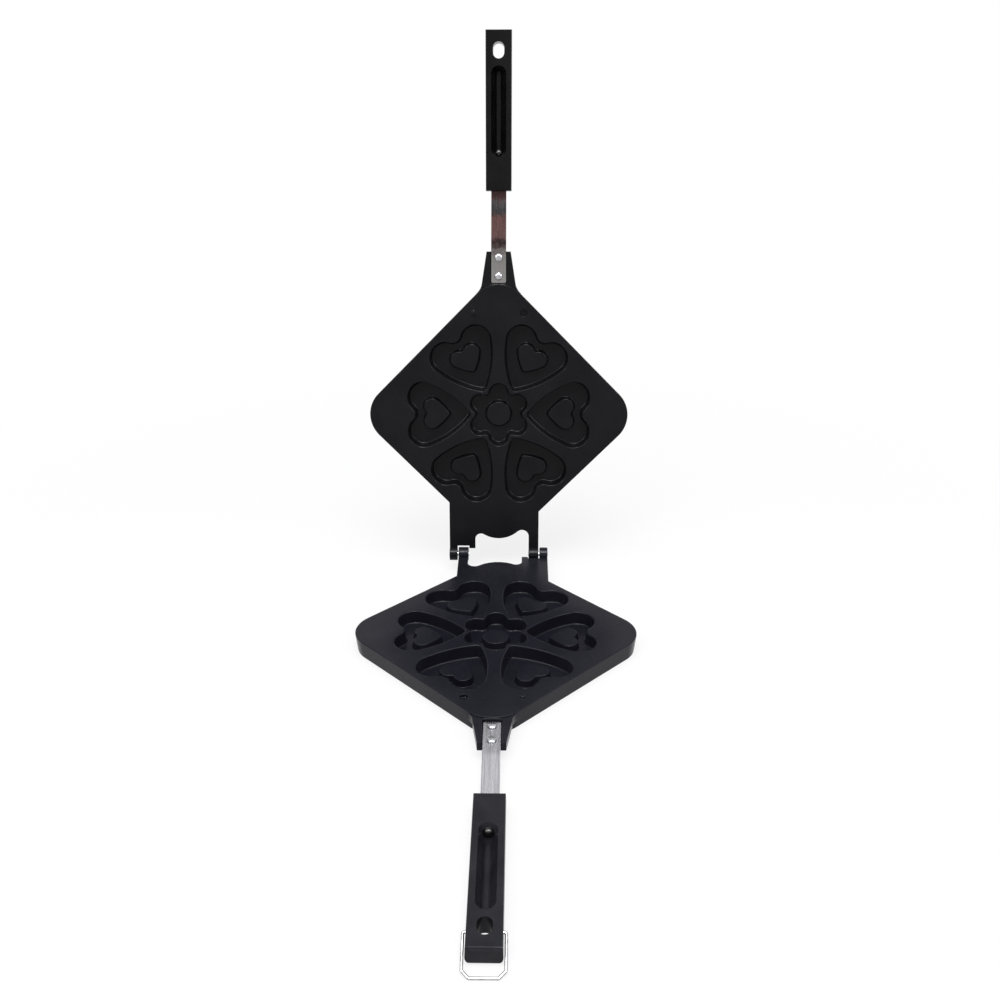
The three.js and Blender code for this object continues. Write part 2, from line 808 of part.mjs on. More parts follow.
// An outline through corners given counterclockwise as x, y and radius, with
// each corner rounded by its radius.
function rounded(corners) {
  const points = corners.flatMap(([x, y, radius], index) => {
    const corner = new THREE.Vector2(x, y);
    if (radius === 0) return [corner];
    const [lastX, lastY] = corners[(index + corners.length - 1) % corners.length];
    const [nextX, nextY] = corners[(index + 1) % corners.length];
    const arriving = Math.atan2(y - lastY, x - lastX);
    const leaving = Math.atan2(nextY - y, nextX - x);
    const turn = (leaving - arriving + 2 * Math.PI) % (2 * Math.PI);
    const back = new THREE.Vector2(-Math.cos(arriving), -Math.sin(arriving));
    const left = new THREE.Vector2(-Math.sin(arriving), Math.cos(arriving));
    const centre = corner
      .addScaledVector(back, radius * Math.tan(turn / 2))
      .addScaledVector(left, radius);
    const from = arriving - Math.PI / 2;
    return arc(centre, radius, from, from + turn, arcSteps);
  });
  return new THREE.Shape(points);
}

// A dome's profile, from its rim to the axis, rising or falling from a height.
function dome(radius, height, rise, steps = domeSteps) {
  return Array.from({ length: steps + 1 }, (_, step) => {
    const angle = (Math.PI * step) / (2 * steps);
    return [step === steps ? 0 : radius * Math.cos(angle), height + rise * Math.sin(angle)];
  });
}

function rivet(reach) {
  const seat = strapTop + seatGap;
  const clinch = -neckUnderside - seatGap;
  const geometry = turned([
    ...dome(rivetClinchRadius, clinch, -rivetClinchHeight).reverse(),
    [rivetShankRadius, clinch],
    [rivetShankRadius, seat],
    ...dome(rivetHeadRadius, seat, rivetHeadHeight),
  ]);
  geometry.rotateX(Math.PI / 2);
  geometry.translate(0, reach, 0);
  return solid(geometry);
}

// An oblong outline along Y with round ends, drawn in by an inset.
function oblong(start, length, width, inset) {
  const radius = width / 2 - inset;
  const near = new THREE.Vector2(0, start + width / 2);
  const far = new THREE.Vector2(0, start + length - width / 2);
  return [
    ...arc(near, radius, Math.PI, 2 * Math.PI, fineArcSteps),
    ...arc(far, radius, 0, Math.PI, fineArcSteps),
  ];
}

// The handle's outside: its plan, side view and section, each with its own
// rounded corners.
function handleBody() {
  const half = handleWidth / 2;
  const planOutline = rounded([
    [-half, handleStart, handleCornerRadius],
    [half, handleStart, handleCornerRadius],
    [half, handleEnd, handleFaceRounding],
    [-half, handleEnd, handleFaceRounding],
  ]);
  const sideOutline = rounded([
    [handleStart, handleUnderside, handleStartRounding],
    [handleEnd, handleUnderside, handleEndRounding],
    [handleEnd - handleDraft, handleTop, handleFaceRounding],
    [handleStart + handleDraft, handleTop, handleFaceRounding],
  ]);
  const sectionOutline = rounded([
    [-half, handleUnderside, handleOuterRounding],
    [half, handleUnderside, handleOuterRounding],
    [half - handleDraft, handleTop, handleFaceRounding],
    [handleDraft - half, handleTop, handleFaceRounding],
  ]);
  return prism(planOutline, handleUnderside, handleTop)
    .intersect(carriedAcross(sideOutline, handleWidth))
    .intersect(carriedAlong(sectionOutline, handleStart, handleEnd));
}

// The round trough along the slot's floor, with a round far end. The screw's
// washer seats on its near end.
function slotTrough() {
  const farEnd = slotEnd - slotWallRun;
  const geometry = turned([
    [0, screwSeat],
    [troughRadius, screwSeat],
    ...dome(troughRadius, farEnd - troughRadius, troughRadius, arcSteps),
  ], roundSides);
  geometry.translate(0, 0, screwAxis);
  return solid(geometry);
}

// The handle with its slot and trough, hang hole, strap socket, screw hole and
// the two blind holes for the bail.
function handle() {
  const slotFloor = handleTop - slotDepth;
  const slot = loft([
    { outline: oblong(slotStart, slotLength, slotWidth, slotWallRun), height: slotFloor },
    { outline: oblong(slotStart, slotLength, slotWidth, 0), height: handleTop },
    { outline: oblong(slotStart, slotLength, slotWidth, 0), height: handleTop + overrun },
  ]);
  const hangHole = prism(
    new THREE.Shape(oblong(hangHoleStart, hangHoleLength, hangHoleWidth, 0)),
    handleUnderside - overrun,
    handleTop + overrun,
  );
  const socketHalf = strapWidth / 2 + socketWall;
  const socket = block(
    [-socketHalf, handleStart - overrun, tangUnderside - socketWall],
    [socketHalf, socketEnd, screwAxis + nutHalfSide + socketWall],
  );
  const screwHole = rodAlong(
    screwRadius + seatGap,
    socketEnd - overrun,
    screwSeat + overrun,
    screwAxis,
  );
  const bailHole = (from, to) => rodAcross(
    wireRadius + seatGap,
    from,
    to,
    bailPivotReach,
    bailPivotHeight,
    smallRoundSides,
  );
  const holeInside = bailTipOffset - seatGap;
  const holeOutside = handleWidth / 2 + overrun;
  return cut(handleBody(), [
    slot,
    slotTrough(),
    hangHole,
    socket,
    screwHole,
    bailHole(-holeOutside, -holeInside),
    bailHole(holeInside, holeOutside),
  ]);
}

// The screw lies along the handle, with its domed head in the slot.
function screw() {
  const start = nutInside - screwStandOut;
  const crown = dome(screwHeadRadius, screwHeadSeat, screwHeadHeight).slice(0, -1);
  const geometry = turned([
    [0, start],
    [screwRadius, start],
    [screwRadius, screwHeadSeat],
    ...crown,
    [0, screwHeadSeat + screwHeadHeight - screwRecessDepth],
  ]);
  geometry.translate(0, 0, screwAxis);
  return solid(geometry);
}

function washer() {
  const inside = screwRadius + seatGap;
  const seat = screwSeat + seatGap;
  const geometry = turned([
    [inside, seat],
    [washerRadius, seat],
    [washerRadius, washerOutside],
    [inside, washerOutside],
    [inside, seat],
  ]);
  geometry.translate(0, 0, screwAxis);
  return solid(geometry);
}

function tangNut() {
  const body = block(
    [-nutHalfSide, nutInside, screwAxis - nutHalfSide],
    [nutHalfSide, nutOutside, screwAxis + nutHalfSide],
  );
  const bore = rodAlong(screwRadius + seatGap, nutInside - overrun, nutOutside + overrun, screwAxis);
  return body.subtract(bore);
}

// A pin from the inner knuckle's inside to just past the outer knuckle.
function hingePin(side) {
  const inside = innerKnuckleInside - pinStandOut;
  const length = outerKnuckleOutside + pinStandOut - inside;
  const geometry = turned([
    [0, 0],
    [pinRadius - pinChamfer, 0],
    [pinRadius, pinChamfer],
    [pinRadius, length - pinChamfer],
    [pinRadius - pinChamfer, length],
    [0, length],
  ]);
  geometry.rotateZ((-side * Math.PI) / 2);
  geometry.translate(side * inside, 0, 0);
  return solid(geometry);
}

// A line through corners, each bend rounded over a short length.
function bentLine(corners, bend) {
  const line = new THREE.CurvePath();
  let from = corners[0];
  for (let index = 1; index < corners.length - 1; index += 1) {
    const corner = corners[index];
    const before = corner.clone().sub(corners[index - 1]).setLength(bend);
    const after = corners[index + 1].clone().sub(corner).setLength(bend);
    const bendStart = corner.clone().sub(before);
    const bendEnd = corner.clone().add(after);
    line.add(new THREE.LineCurve3(from, bendStart));
    line.add(new THREE.QuadraticBezierCurve3(bendStart, corner, bendEnd));
    from = bendEnd;
  }
  line.add(new THREE.LineCurve3(from, corners[corners.length - 1]));
  return line;
}

// The bail lies in one plane, its pivots on the X axis and its legs along +Y.
function bail() {
  const half = [
    [bailTipOffset, 0],
    [bailHalfWidth, 0],
    [bailHalfWidth, bailLeg - bailChamfer],
    [bailHalfWidth - bailChamfer, bailLeg],
  ];
  const corners = [
    ...half.map(([x, y]) => new THREE.Vector3(x, y, 0)),
    ...half.toReversed().map(([x, y]) => new THREE.Vector3(-x, y, 0)),
  ];
  const section = new THREE.Shape();
  section.absarc(0, 0, wireRadius, 0, 2 * Math.PI);
  return solid(new THREE.ExtrudeGeometry(section, {
    steps: wireSteps,
    curveSegments: wireHalfSides,
    extrudePath: bentLine(corners, bailBend),
  }));
}

// One half of the iron: casting, strap, rivets, handle and its fixing.
function ironHalf(name, castingColor) {
  const group = new THREE.Group();
  group.add(
    piece(`${name}_plate`, casting(), castingFinish(castingColor)),
    piece(`${name}_strap`, strap(), steelFinish()),
    piece(`${name}_rivet_inner`, rivet(innerRivetReach), steelFinish()),
    piece(`${name}_rivet_outer`, rivet(outerRivetReach), steelFinish()),
    piece(`${name}_handle`, handle(), handleFinish()),
    piece(`${name}_handle_screw`, screw(), steelFinish()),
    piece(`${name}_screw_washer`, washer(), steelFinish()),
    piece(`${name}_tang_nut`, tangNut(), steelFinish()),
  );
  return group;
}

function openedUpperHalf() {
  const turnedOver = ironHalf('upper', upperCoating);
  turnedOver.rotation.y = Math.PI;
  const lid = new THREE.Group();
  lid.rotation.x = THREE.MathUtils.degToRad(openAngleDegrees);
  lid.add(turnedOver);
  return lid;
}

function latchBail() {
  const mesh = piece('latch_bail', bail(), chromeFinish());
  mesh.position.set(0, bailPivotReach, bailPivotHeight);
  mesh.rotation.x = -bailDroop;
  return mesh;
}

// The whole iron, its handles towards -Y, standing on the middle of its box.
function waffleIron() {
  const iron = new THREE.Group();
  iron.add(
    ironHalf('lower', lowerCoating),
    openedUpperHalf(),
    piece('hinge_pin_left', hingePin(1), steelFinish()),
    piece('hinge_pin_right', hingePin(-1), steelFinish()),
    latchBail(),
  );
  iron.rotation.z = Math.PI;
  iron.updateMatrixWorld(true);
  const box = new THREE.Box3().setFromObject(iron, true);
  const middle = box.getCenter(new THREE.Vector3());
  iron.position.set(-middle.x, -middle.y, -box.min.z);
  const model = new THREE.Group();
  model.add(iron);
  return model;
}

export default waffleIron();
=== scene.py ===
"""Dresses the stovetop waffle iron: castings, straps, handles, pins and bail.

Each half of the iron is drawn with its mating face up and its handle along +Y,
in millimetres from the hinge axis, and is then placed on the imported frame.
"""

import logging
import math
from collections.abc import Callable, Iterable, Sequence
from dataclasses import dataclass, field
from enum import Enum

import bmesh
import bpy
from mathutils import Matrix, Vector


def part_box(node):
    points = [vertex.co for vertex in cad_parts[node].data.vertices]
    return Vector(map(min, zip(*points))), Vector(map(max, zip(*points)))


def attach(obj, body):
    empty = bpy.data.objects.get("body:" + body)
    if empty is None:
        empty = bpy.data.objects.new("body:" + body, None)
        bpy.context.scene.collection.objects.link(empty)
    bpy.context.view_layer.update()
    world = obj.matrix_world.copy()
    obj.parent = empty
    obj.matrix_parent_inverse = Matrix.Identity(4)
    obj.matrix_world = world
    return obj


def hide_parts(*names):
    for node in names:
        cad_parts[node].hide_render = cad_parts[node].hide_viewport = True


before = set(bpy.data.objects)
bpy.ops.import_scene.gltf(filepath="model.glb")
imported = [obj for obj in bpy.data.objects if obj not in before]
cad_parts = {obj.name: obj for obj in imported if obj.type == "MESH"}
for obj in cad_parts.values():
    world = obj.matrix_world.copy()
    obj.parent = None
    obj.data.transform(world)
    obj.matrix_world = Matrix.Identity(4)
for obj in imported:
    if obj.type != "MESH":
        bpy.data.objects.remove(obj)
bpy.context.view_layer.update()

LOG = logging.getLogger("waffle_iron")
MM = 0.001
WELD = 0.002
COPY_WELD = 1e-6
SHARP = math.radians(38)
FLAT = math.radians(0.5)
MITRE_LIMIT = 0.3
NORMAL_WEIGHT = 60
ROUND_STEPS = 4
COARSE_STEPS = 3
FINE_STEPS = 5
WHITE = (1.0, 1.0, 1.0, 1.0)
ALONG_X = Vector((1, 0, 0))
ALONG_Y = Vector((0, 1, 0))
UPWARDS = Vector((0, 0, 1))

Span = tuple[float, float]
Triple = tuple[float, float, float]
Colour = Triple
Socket = bpy.types.NodeSocket
Edges = list[bmesh.types.BMEdge]
Outline = list[Vector]
OutlineAt = Callable[[float], Outline]
Profile = list[Span]


class Half(Enum):
    """The two halves of the iron, by the name of their body in the frame."""

    LOWER = "lower"
    UPPER = "upper"


# Drawing


def arc(centre: Vector, radius: float, start: float, end: float, steps: int) -> Outline:
    """Points on an arc, both ends included.

    Args:
        centre: Middle of the circle.
        radius: Its radius.
        start: First angle in radians.
        end: Last angle in radians.
        steps: Number of stretches.

    Returns:
        The points in order from start to end.
    """
    turns = (start + (end - start) * step / steps for step in range(steps + 1))
    return [centre + radius * Vector((math.cos(turn), math.sin(turn))) for turn in turns]


def heading(point: Vector, origin: Vector) -> float:
    """The angle of a point as seen from an origin."""
    return math.atan2(point.y - origin.y, point.x - origin.x)


def turned(outline: Iterable[Vector], angle: float, shift: Vector) -> Outline:
    """The outline turned about the origin and then moved."""
    rotation = Matrix.Rotation(angle, 2)
    return [rotation @ point + shift for point in outline]


def resampled(line: Sequence[Vector], count: int) -> Outline:
    """Points spread evenly along an open line.

    Args:
        line: Corners of the line.
        count: Number of points wanted, both ends included.

    Returns:
        That many points, evenly spaced along the line.
    """
    spans = [(b - a).length for a, b in zip(line, line[1:])]
    total = sum(spans)
    points, index, passed = [], 0, 0.0
    for step in range(count):
        wanted = total * step / (count - 1)
        while index < len(spans) - 1 and passed + spans[index] < wanted:
            passed += spans[index]
            index += 1
        share = min(max((wanted - passed) / spans[index], 0.0), 1.0)
        points.append(line[index].lerp(line[index + 1], share))
    return points


def inset(outline: Sequence[Vector], depth: float) -> Outline:
    """A closed outline drawn in by a depth, with mitred corners.

    Args:
        outline: Corners, anticlockwise.
        depth: How far each side moves inwards.

    Returns:
        As many corners as came in.
    """
    moved = []
    for index, here in enumerate(outline):
        before, after = outline[index - 1], outline[(index + 1) % len(outline)]
        first, second = (here - before).normalized(), (after - here).normalized()
        left = Vector((-first.y, first.x)) + Vector((-second.y, second.x))
        left.normalize()
        lean = max(left.dot(Vector((-first.y, first.x))), MITRE_LIMIT)
        moved.append(here + left * (depth / lean))
    return moved


def circle(centre: Vector, radius: float, steps: int) -> Outline:
    """The corners of a circle."""
    return arc(centre, radius, 0.0, 2 * math.pi, steps)[:-1]


def outside_round(radius: float, steps: int = ROUND_STEPS) -> Profile:
    """A convex quarter round as pairs of travel outwards and drop."""
    turns = (math.pi / 2 * step / steps for step in range(steps + 1))
    return [(radius * math.sin(turn), radius * (1 - math.cos(turn))) for turn in turns]


def inside_round(radius: float, steps: int = ROUND_STEPS) -> Profile:
    """A concave quarter round as pairs of travel and drop still to go."""
    turns = (math.pi / 2 * step / steps for step in range(steps + 1))
    return [(radius * (1 - math.cos(turn)), radius * (1 - math.sin(turn))) for turn in turns]


def extruded(mesh: bmesh.types.BMesh, edges: Edges) -> tuple[list[bmesh.types.BMVert], Edges]:
    """Extrudes edges and finds the corners and the edges at the new end.

    Args:
        mesh: The mesh.
        edges: What is extruded.

    Returns:
        The new corners and the new edges.
    """
    made = bmesh.ops.extrude_edge_only(mesh, edges=edges)["geom"]
    verts = [item for item in made if isinstance(item, bmesh.types.BMVert)]
    sides = [item for item in made if isinstance(item, bmesh.types.BMEdge)]
    return verts, [edge for edge in sides if set(edge.verts) <= set(verts)]


class Sheet:
    """A bmesh whose edge rings are extruded and moved from level to level."""

    def __init__(self) -> None:
        """Starts an empty mesh with a layer that numbers the corners."""
        self.mesh = bmesh.new()
        self.corner = self.mesh.verts.layers.int.new("corner")

    def ring(self, outline: Outline, height: float) -> Edges:
        """A closed ring of edges at one height.

        Args:
            outline: Its corners.
            height: Its height.

        Returns:
            The edges in order.
        """
        verts = []
        for number, point in enumerate(outline):
            vert = self.mesh.verts.new((point.x, point.y, height))
            vert[self.corner] = number
            verts.append(vert)
        return [self.mesh.edges.new(pair) for pair in zip(verts, verts[1:] + verts[:1])]

    def carry(self, edges: Edges, outline: Outline, height: float) -> Edges:
        """Extrudes a ring and moves its corners to an outline of the same count.

        Args:
            edges: The ring.
            outline: Where its corners go.
            height: The new height.

        Returns:
            The new ring.
        """
        verts, ring = extruded(self.mesh, edges)
        for vert in verts:
            point = outline[vert[self.corner]]
            vert.co = (point.x, point.y, height)
        return ring

    def loft(self, outline_at: OutlineAt, profile: Profile) -> tuple[Edges, Edges]:
        """A wall through an outline that grows as the profile says.

        Args:
            outline_at: Gives the outline for an amount of growth.
            profile: Pairs of growth and height, in order.

        Returns:
            The first ring and the last ring.
        """
        growth, height = profile[0]
        first = last = self.ring(outline_at(growth), height)
        for growth, height in profile[1:]:
            last = self.carry(last, outline_at(growth), height)
        return first, last

    def fill(self, *rings: Edges) -> None:
        """Fills the flat area between rings, or inside one."""
        edges = [edge for ring in rings for edge in ring]
        bmesh.ops.triangle_fill(self.mesh, use_beauty=True, use_dissolve=False, edges=edges)

    def spin(self, profile: Profile, origin: Vector, axis: Vector, steps: int) -> None:
        """Turns a profile of radius and travel about an axis.

        Args:
            profile: Pairs of radius and travel along the axis.
            origin: Where the travel starts.
            axis: Direction of the axis.
            steps: Stretches in the full turn.
        """
        aside = axis.orthogonal().normalized()
        verts = [
            self.mesh.verts.new(origin + aside * radius + axis * travel)
            for radius, travel in profile
        ]
        edges = [self.mesh.edges.new(pair) for pair in zip(verts, verts[1:])]
        bmesh.ops.spin(
            self.mesh,
            geom=verts + edges,
            cent=origin,
            axis=axis,
            dvec=(0, 0, 0),
            angle=2 * math.pi,
            steps=steps,
            use_merge=True,
            use_normal_flip=False,
            use_duplicate=False,
        )

    def finish(self, name: str, place: Matrix) -> bpy.types.Object:
        """Welds the sheets, turns them outwards and places them.

        Args:
            name: Name of the piece.
            place: From the drawing to the frame.

        Returns:
            The piece, with its place in its mesh.
        """
        mesh = self.mesh
        bmesh.ops.remove_doubles(mesh, verts=mesh.verts[:], dist=WELD)
        bmesh.ops.recalc_face_normals(mesh, faces=mesh.faces[:])
        bmesh.ops.transform(mesh, matrix=place, verts=mesh.verts[:])
        return made_object(name, mesh)


def linked(name: str, data: bpy.types.ID) -> bpy.types.Object:
    """A new object in the scene.

    Args:
        name: Name of the object.
        data: Its mesh, lamp or camera.

    Returns:
        The object.
    """
    item = bpy.data.objects.new(name, data)
    bpy.context.scene.collection.objects.link(item)
    return item


def made_object(name: str, mesh: bmesh.types.BMesh) -> bpy.types.Object:
    """Turns a bmesh into a smooth shaded piece with weighted normals.

    Args:
        name: Name of the piece.
        mesh: The bmesh, which is freed.

    Returns:
        The new object at the origin.
    """
    for face in mesh.faces:
        face.smooth = True
    for edge in mesh.edges:
        edge.smooth = edge.calc_face_angle(0.0) < SHARP
    data = bpy.data.meshes.new(name)
    mesh.to_mesh(data)
    mesh.free()
    piece = linked(name, data)
    weighted = piece.modifiers.new("even_normals", "WEIGHTED_NORMAL")
    weighted.keep_sharp = True
    weighted.weight = NORMAL_WEIGHT
    return piece


def lathed(
    name: str, profile: Profile, origin: Vector, axis: Vector, steps: int, place: Matrix
) -> bpy.types.Object:
    """Turns a profile into a piece of its own.

    Args:
        name: Name of the piece.
        profile: Pairs of radius and travel along the axis.
        origin: Where the travel starts.
        axis: Direction of the axis.
        steps: Stretches in the full turn.
        place: From the drawing to the frame.

    Returns:
        The piece.
    """
    sheet = Sheet()
    sheet.spin(profile, origin, axis, steps)
    return sheet.finish(name, place)


# Finishes


def combined(
    tree: bpy.types.NodeTree, operation: str, first: Socket, second: Socket
) -> Socket:
    """The value of a math node on two sockets.

    Args:
        tree: The node tree.
        operation: What the node does.
        first: The first value.
        second: The second value.

    Returns:
        The result.
    """
    node = tree.nodes.new("ShaderNodeMath")
    node.operation = operation
    tree.links.new(first, node.inputs[0])
    tree.links.new(second, node.inputs[1])
    return node.outputs["Value"]


class Nodes:
    """A short way to write a material's node tree."""

    NOISE_SPAN: Span = (0.3, 0.7)

    def __init__(self, name: str) -> None:
        """Starts a material with a Principled shader.

        Args:
            name: Name of the material.
        """
        self.material = bpy.data.materials.new(name)
        self.material.use_nodes = True
        self.tree = self.material.node_tree
        self.shader = self.tree.nodes["Principled BSDF"]
        self.coordinates = self.tree.nodes.new("ShaderNodeTexCoord")

    def stretch(self, scale: Triple = (1.0, 1.0, 1.0), tilt: float = 0.0) -> Socket:
        """Object coordinates, turned about X and stretched.

        Args:
            scale: Scale along each axis.
            tilt: Angle about X in radians.

        Returns:
            The place on the pattern.
        """
        mapping = self.tree.nodes.new("ShaderNodeMapping")
        mapping.inputs["Scale"].default_value = scale
        mapping.inputs["Rotation"].default_value = (tilt, 0.0, 0.0)
        self.tree.links.new(self.coordinates.outputs["Object"], mapping.inputs["Vector"])
        return mapping.outputs["Vector"]

    def noise(self, vector: Socket, pattern: Span) -> Socket:
        """Noise from 0 to 1 on a vector, by a pattern of scale and detail.

        Args:
            vector: The place on the pattern.
            pattern: Its scale and its detail.

        Returns:
            The noise.
        """
        node = self.tree.nodes.new("ShaderNodeTexNoise")
        node.inputs["Scale"].default_value, node.inputs["Detail"].default_value = pattern
        self.tree.links.new(vector, node.inputs["Vector"])
        return node.outputs["Fac"]

    def moved(self, value: Socket, source: Span, target: Span) -> Socket:
        """A value moved from one range to another and kept inside it.

        Args:
            value: The value.
            source: The range that it has.
            target: The range that it gets.

        Returns:
            The moved value.
        """
        node = self.tree.nodes.new("ShaderNodeMapRange")
        for name, limit in zip(("From Min", "From Max", "To Min", "To Max"), (*source, *target)):
            node.inputs[name].default_value = limit
        self.tree.links.new(value, node.inputs["Value"])
        return node.outputs["Result"]

    def spread(self, noise: Socket, target: Span = (0.0, 1.0)) -> Socket:
        """The usual range of a noise spread over a wanted range."""
        return self.moved(noise, self.NOISE_SPAN, target)

    def share_along(
        self, vector: Socket, ends: Span, wave: Socket, waviness: float
    ) -> Socket:
        """How far a place lies from start to end along Y, with a wavy edge.

        Args:
            vector: The place.
            ends: Where the share is zero and where it is one.
            wave: Noise that shifts the share.
            waviness: How far it shifts it.

        Returns:
            The share.
        """
        split = self.tree.nodes.new("ShaderNodeSeparateXYZ")
        self.tree.links.new(vector, split.inputs["Vector"])
        share = self.moved(split.outputs["Y"], ends, (0.0, 1.0))
        return combined(self.tree, "ADD", share, self.spread(wave, (-waviness, waviness)))

    def ramp(
        self, share: Socket, stops: Sequence[tuple[float, Colour]]
    ) -> Socket:
        """A colour from a row of stops, by a share.

        Args:
            share: The share.
            stops: Pairs of share and colour, in order.

        Returns:
            The colour.
        """
        node = self.tree.nodes.new("ShaderNodeValToRGB")
        elements = node.color_ramp.elements
        while len(elements) < len(stops):
            elements.new(0.5)
        for element, (position, colour) in zip(elements, stops):
            element.position = position
            element.color = (*colour, 1.0)
        self.tree.links.new(share, node.inputs["Fac"])
        return node.outputs["Color"]

    def bump(self, height: Socket, distance: float, strength: float) -> None:
        """Bumps the shader's normal by a height map.

        Args:
            height: The height map.
            distance: Height of the bumps in metres.
            strength: Share of the bumps that is used.
        """
        node = self.tree.nodes.new("ShaderNodeBump")
        node.inputs["Distance"].default_value = distance
        node.inputs["Strength"].default_value = strength
        self.tree.links.new(height, node.inputs["Height"])
        self.tree.links.new(node.outputs["Normal"], self.shader.inputs["Normal"])

    def feed(self, socket: str, value: Socket) -> None:
        """Links a value to one of the shader's sockets."""
        self.tree.links.new(value, self.shader.inputs[socket])

    def set(self, socket: str, value: float) -> None:
        """Sets one of the shader's own sockets."""
        self.shader.inputs[socket].default_value = value

    def mottle(self, noise: Socket, dark: Colour, light: Colour) -> None:
        """Colours the shader between two colours, by a noise.

        Args:
            noise: The noise.
            dark: Colour where it is low.
            light: Colour where it is high.
        """
        node = self.tree.nodes.new("ShaderNodeMix")
        node.data_type = "RGBA"
        node.inputs["A"].default_value = (*dark, 1.0)
        node.inputs["B"].default_value = (*light, 1.0)
        self.tree.links.new(self.spread(noise), node.inputs["Factor"])
        self.feed("Base Color", node.outputs["Result"])

    def drawn_steel(self, tilt: float, roughness: Span) -> None:
        """Bare steel with fine lines drawn along Y, turned about X.

        Args:
            tilt: Angle about X in radians.
            roughness: Least and most roughness.
        """
        lines = self.noise(self.stretch((1.0, 0.02, 0.02), tilt), (1800.0, 4.0))
        self.feed("Roughness", self.spread(lines, roughness))
        self.bump(lines, 0.00002, 0.3)
        self.set("Metallic", 1.0)


@dataclass(frozen=True)
class CoatedCasting:
    """Dark non-stick coating on a die casting: satin with a fine grain."""

    name: str
    dark: Colour
    light: Colour
    roughness: Span = (0.2, 0.28)
    reflection: float = 0.11
    grain: Span = (900.0, 2.0)
    cloud: Span = (28.0, 4.0)
    grain_depth: float = 0.00005
    grain_strength: float = 0.35

    def material(self) -> bpy.types.Material:
        """Builds the coating.

        Returns:
            The material.
        """
        nodes = Nodes(self.name)
        plain = nodes.stretch()
        fine = nodes.noise(plain, self.grain)
        nodes.mottle(nodes.noise(plain, self.cloud), self.dark, self.light)
        nodes.feed("Roughness", nodes.spread(fine, self.roughness))
        nodes.bump(fine, self.grain_depth, self.grain_strength)
        nodes.set("Specular IOR Level", self.reflection)
        return nodes.material


@dataclass(frozen=True)
class MouldedHandle:
    """Dark thermoset with a faint grain."""

    name: str
    dark: Colour
    light: Colour
    roughness: Span = (0.18, 0.24)
    reflection: float = 0.12
    grain: Span = (1400.0, 2.0)
    cloud: Span = (60.0, 3.0)
    grain_depth: float = 0.00003
    grain_strength: float = 0.25

    def material(self) -> bpy.types.Material:
        """Builds the thermoset.

        Returns:
            The material.
        """
        nodes = Nodes(self.name)
        plain = nodes.stretch()
        cloud = nodes.noise(plain, self.cloud)
        nodes.mottle(cloud, self.dark, self.light)
        nodes.feed("Roughness", nodes.spread(cloud, self.roughness))
        nodes.bump(nodes.noise(plain, self.grain), self.grain_depth, self.grain_strength)
        nodes.set("Specular IOR Level", self.reflection)
        return nodes.material


@dataclass(frozen=True)
class RolledSteel:
    """Bright steel with drawn lines along the strap."""

    name: str
    tilt: float
    dark: Colour = (0.34, 0.34, 0.36)
    light: Colour = (0.5, 0.5, 0.53)
    roughness: Span = (0.16, 0.34)
    band_stretch: Triple = (1.0, 0.03, 0.03)
    bands: Span = (700.0, 4.0)

    def material(self) -> bpy.types.Material:
        """Builds the steel.

        Returns:
            The material.
        """
        nodes = Nodes(self.name)
        bands = nodes.noise(nodes.stretch(self.band_stretch, self.tilt), self.bands)
        nodes.mottle(bands, self.dark, self.light)
        nodes.drawn_steel(self.tilt, self.roughness)
        return nodes.material


@dataclass(frozen=True)
class HeatTintedSteel:
    """Steel strap that heat has browned in bands between casting and handle."""

    name: str
    tilt: float
    ends: Span
    waviness: float = 0.03
    wave_stretch: Triple = (1.0, 0.4, 1.0)
    wave: Span = (300.0, 3.0)
    tints: tuple[tuple[float, Colour], ...] = (
        (0.0, (0.25, 0.24, 0.235)),
        (0.23, (0.2, 0.19, 0.185)),
        (0.3, (0.08, 0.063, 0.06)),
        (0.345, (0.03, 0.02, 0.02)),
        (0.385, (0.075, 0.045, 0.042)),
        (0.53, (0.07, 0.038, 0.036)),
        (0.57, (0.025, 0.024, 0.025)),
        (0.64, (0.035, 0.033, 0.034)),
        (0.68, (0.055, 0.032, 0.03)),
        (0.76, (0.035, 0.02, 0.018)),
    )
    roughness: Span = (0.18, 0.34)

    @classmethod
    def for_strap(cls, name: str, node: str, tilt: float) -> "HeatTintedSteel":
        """Measures where a tilted strap starts and ends along itself.

        Args:
            name: Name of the material.
            node: The strap's node in the frame.
            tilt: How far the strap is turned about X.

        Returns:
            The finish for that strap.
        """
        low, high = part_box(node)
        corners = ((low.y, low.z), (high.y, high.z))
        start, end = (math.cos(tilt) * y - math.sin(tilt) * z for y, z in corners)
        LOG.info("%s from %.4f to %.4f along itself", node, start, end)
        return cls(name, tilt, (start, end))

    def material(self) -> bpy.types.Material:
        """Builds the browned steel.

        Returns:
            The material.
        """
        nodes = Nodes(self.name)
        along = nodes.stretch(tilt=self.tilt)
        wave = nodes.noise(nodes.stretch(self.wave_stretch, self.tilt), self.wave)
        share = nodes.share_along(along, self.ends, wave, self.waviness)
        nodes.feed("Base Color", nodes.ramp(share, self.tints))
        nodes.drawn_steel(self.tilt, self.roughness)
        return nodes.material


